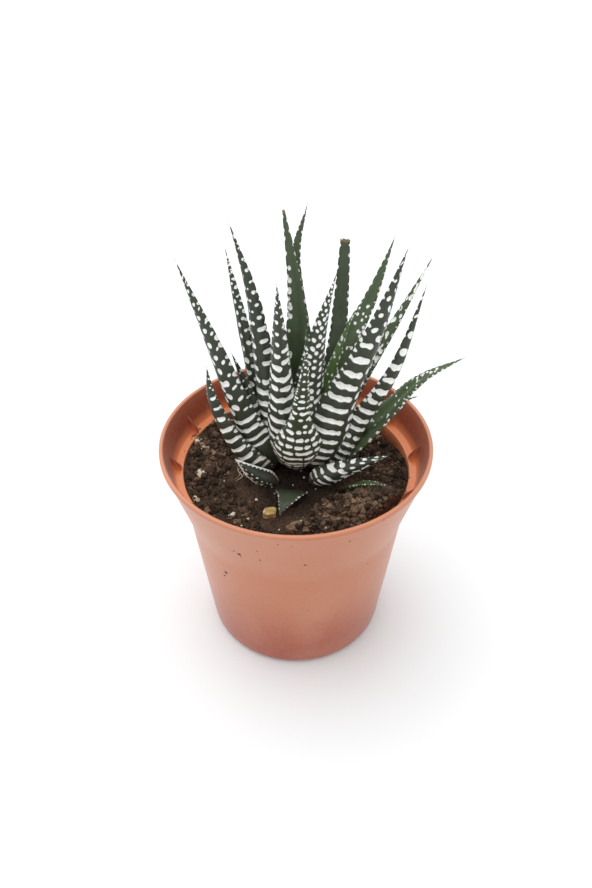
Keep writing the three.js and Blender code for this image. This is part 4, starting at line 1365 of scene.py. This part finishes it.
def make_whiskers():
    """Thin dried roots between the lowest left leaves and the soil."""
    rng = random.Random(41)
    heap = Heap()
    for _ in range(7):
        x, y = -16 + rng.gauss(0, 1.6), -4.6 + rng.gauss(0, 0.7)
        foot = surface_at(x - 0.8, y - 1.5)
        line = [(x, y + 1.5, SOIL_LEVEL + 3.4 + rng.uniform(-0.6, 0.6)),
                (x + rng.gauss(0, 0.5), y + 0.4, SOIL_LEVEL + 2.4),
                (x + rng.gauss(0, 0.7), y - 0.7, SOIL_LEVEL + 1.3),
                (x - 0.8 + rng.gauss(0, 0.8), y - 1.5, foot + 0.1)]
        add_strand(heap, line, rng.uniform(0.09, 0.16), rng.uniform(0.1, 0.6), 14, 8)
    return heap.gather("root_whiskers", pale_grains, "root")


def make_pot_specks():
    """Small flat specks of dried soil on the pot's outer wall."""
    rng = random.Random(53)
    heap = Heap()
    shape = ball(2)
    for bearing, height, radius in POT_SPECKS:
        turn = math.radians(bearing)
        crumb = crumb_points(rng, shape[0], radius)
        reach = pot_outside(height) + 0.02
        laid = np.stack([reach + crumb[:, 2] * 0.35, crumb[:, 0], height + crumb[:, 1] * 0.8], -1)
        heap.add(rotated(laid, turn), shape[1], rng.uniform(0.0, 0.3))
    return heap.gather("pot_specks", loose_peat, "soil")


def surface_at(x, y):
    """Height in mm of the highest soil, clump or chip at a place, or None where there is none."""
    best = None
    for tree in ground_trees:
        hit = tree.ray_cast(Vector((x, y, SOIL_LEVEL + 12)) * MM, Vector((0, 0, -1)), 0.02)
        if hit[0] is not None and (best is None or hit[0].z > best * MM):
            best = hit[0].z / MM
    return best


def crowded(trees, x, y, z, radius):
    """True where a bit of this radius would touch a leaf."""
    spot = Vector((x, y, z + 0.3 * radius)) * MM
    for tree in trees:
        found = tree.find_nearest(spot, 0.006)
        if found[0] is None:
            continue
        inside = (spot - found[0]).dot(found[1]) < 0
        if inside or found[3] < radius * 1.25 * MM:
            return True
    return False


def tree_of(made):
    graph = bpy.context.evaluated_depsgraph_get()
    return BVHTree.FromObject(made, graph)


def touching(first, second):
    """True if two objects' boxes meet."""
    a = np.array([v[:] for v in first.bound_box])
    b = np.array([v[:] for v in second.bound_box])
    return bool((a.min(0) <= b.max(0)).all() and (b.min(0) <= a.max(0)).all())


# ---- Assembly ----

SKIN_GAP = 0.42          # mm left round an inner leaf, which its raised bands stay within


def trim(made, cutters):
    """Cuts a piece back where it meets closed cutters, and keeps what is left of it in one."""
    met = [cutter for cutter in cutters if touching(made, cutter)]
    if met:
        combine(made, met, "DIFFERENCE")
        keep_largest(made)


make_pot()
make_stem()
leaf_cutters = [leaf_cutter(leaf, SKIN_GAP) for leaf in LEAVES]
stem_cutter = make_stem_cutter()

for number, leaf in enumerate(LEAVES):
    blade = make_leaf(leaf, number)
    trim(blade, [stem_cutter] + leaf_cutters[:number])
    finish_piece(blade, leaf_skin, "leaf", leaf.name)

root_cutters = []
for name, line in ROOTS:
    root = make_root(name, line)
    trim(root, [stem_cutter])
    finish_piece(root, root_skin, "root", name)
    root_cutters.append(root_cutter(name, line))

lumps = []
for lump in LUMPS:
    made = make_lump(lump)
    trim(made, leaf_cutters)
    lumps.append(finish_piece(made, lump.material, lump.slot, lump.name))

soil_cutters = leaf_cutters + [stem_cutter] + root_cutters
soil = make_soil(soil_cutters)

leaf_trees = [tree_of(cutter) for cutter in leaf_cutters]
ground_trees = [tree_of(soil)] + [tree_of(lump) for lump in lumps]
make_crumbs(leaf_trees)
make_grit()
make_fibres(leaf_trees)
make_whiskers()
make_pot_specks()

for cutter in leaf_cutters + [stem_cutter] + root_cutters:
    bpy.data.objects.remove(cutter)


# ---- Floor and light ----

def make_floor():
    reach = 6.0
    mesh = bpy.data.meshes.new("floor")
    mesh.from_pydata([(-reach, -reach, 0), (reach, -reach, 0), (reach, reach, 0), (-reach, reach, 0)], [],
                     [(0, 1, 2, 3)])
    floor = bpy.data.objects.new("floor", mesh)
    floor.location.z = -0.0001
    scene.collection.objects.link(floor)
    material, tree, shader = new_material("pale_table")
    tint = noise_at(tree, object_place(tree), 6.0)
    colour = blend(tree, step(tree, tint, 0.3, 0.7), (0.82, 0.845, 0.85), (0.84, 0.865, 0.87))
    link(tree, colour, shader.inputs["Base Color"])
    shader.inputs["Roughness"].default_value = 0.9
    shader.inputs["Specular IOR Level"].default_value = 0.1
    mesh.materials.append(material)


def make_light():
    """One broad soft light from the upper left, in an even white room."""
    sun = bpy.data.objects.new("window_light", bpy.data.lights.new("window_light", "SUN"))
    sun.data.energy = 1.3
    sun.data.angle = math.radians(75)
    toward = Vector((0.35, -0.30, -0.90))
    sun.rotation_euler = toward.to_track_quat("-Z", "Y").to_euler()
    scene.collection.objects.link(sun)
    world = bpy.data.worlds.new("white_room")
    world.use_nodes = True
    background = world.node_tree.nodes["Background"]
    background.inputs["Color"].default_value = (0.98, 0.99, 1.0, 1.0)
    background.inputs["Strength"].default_value = 1.05
    scene.world = world
    scene.view_settings.view_transform = "Standard"


make_floor()
make_light()
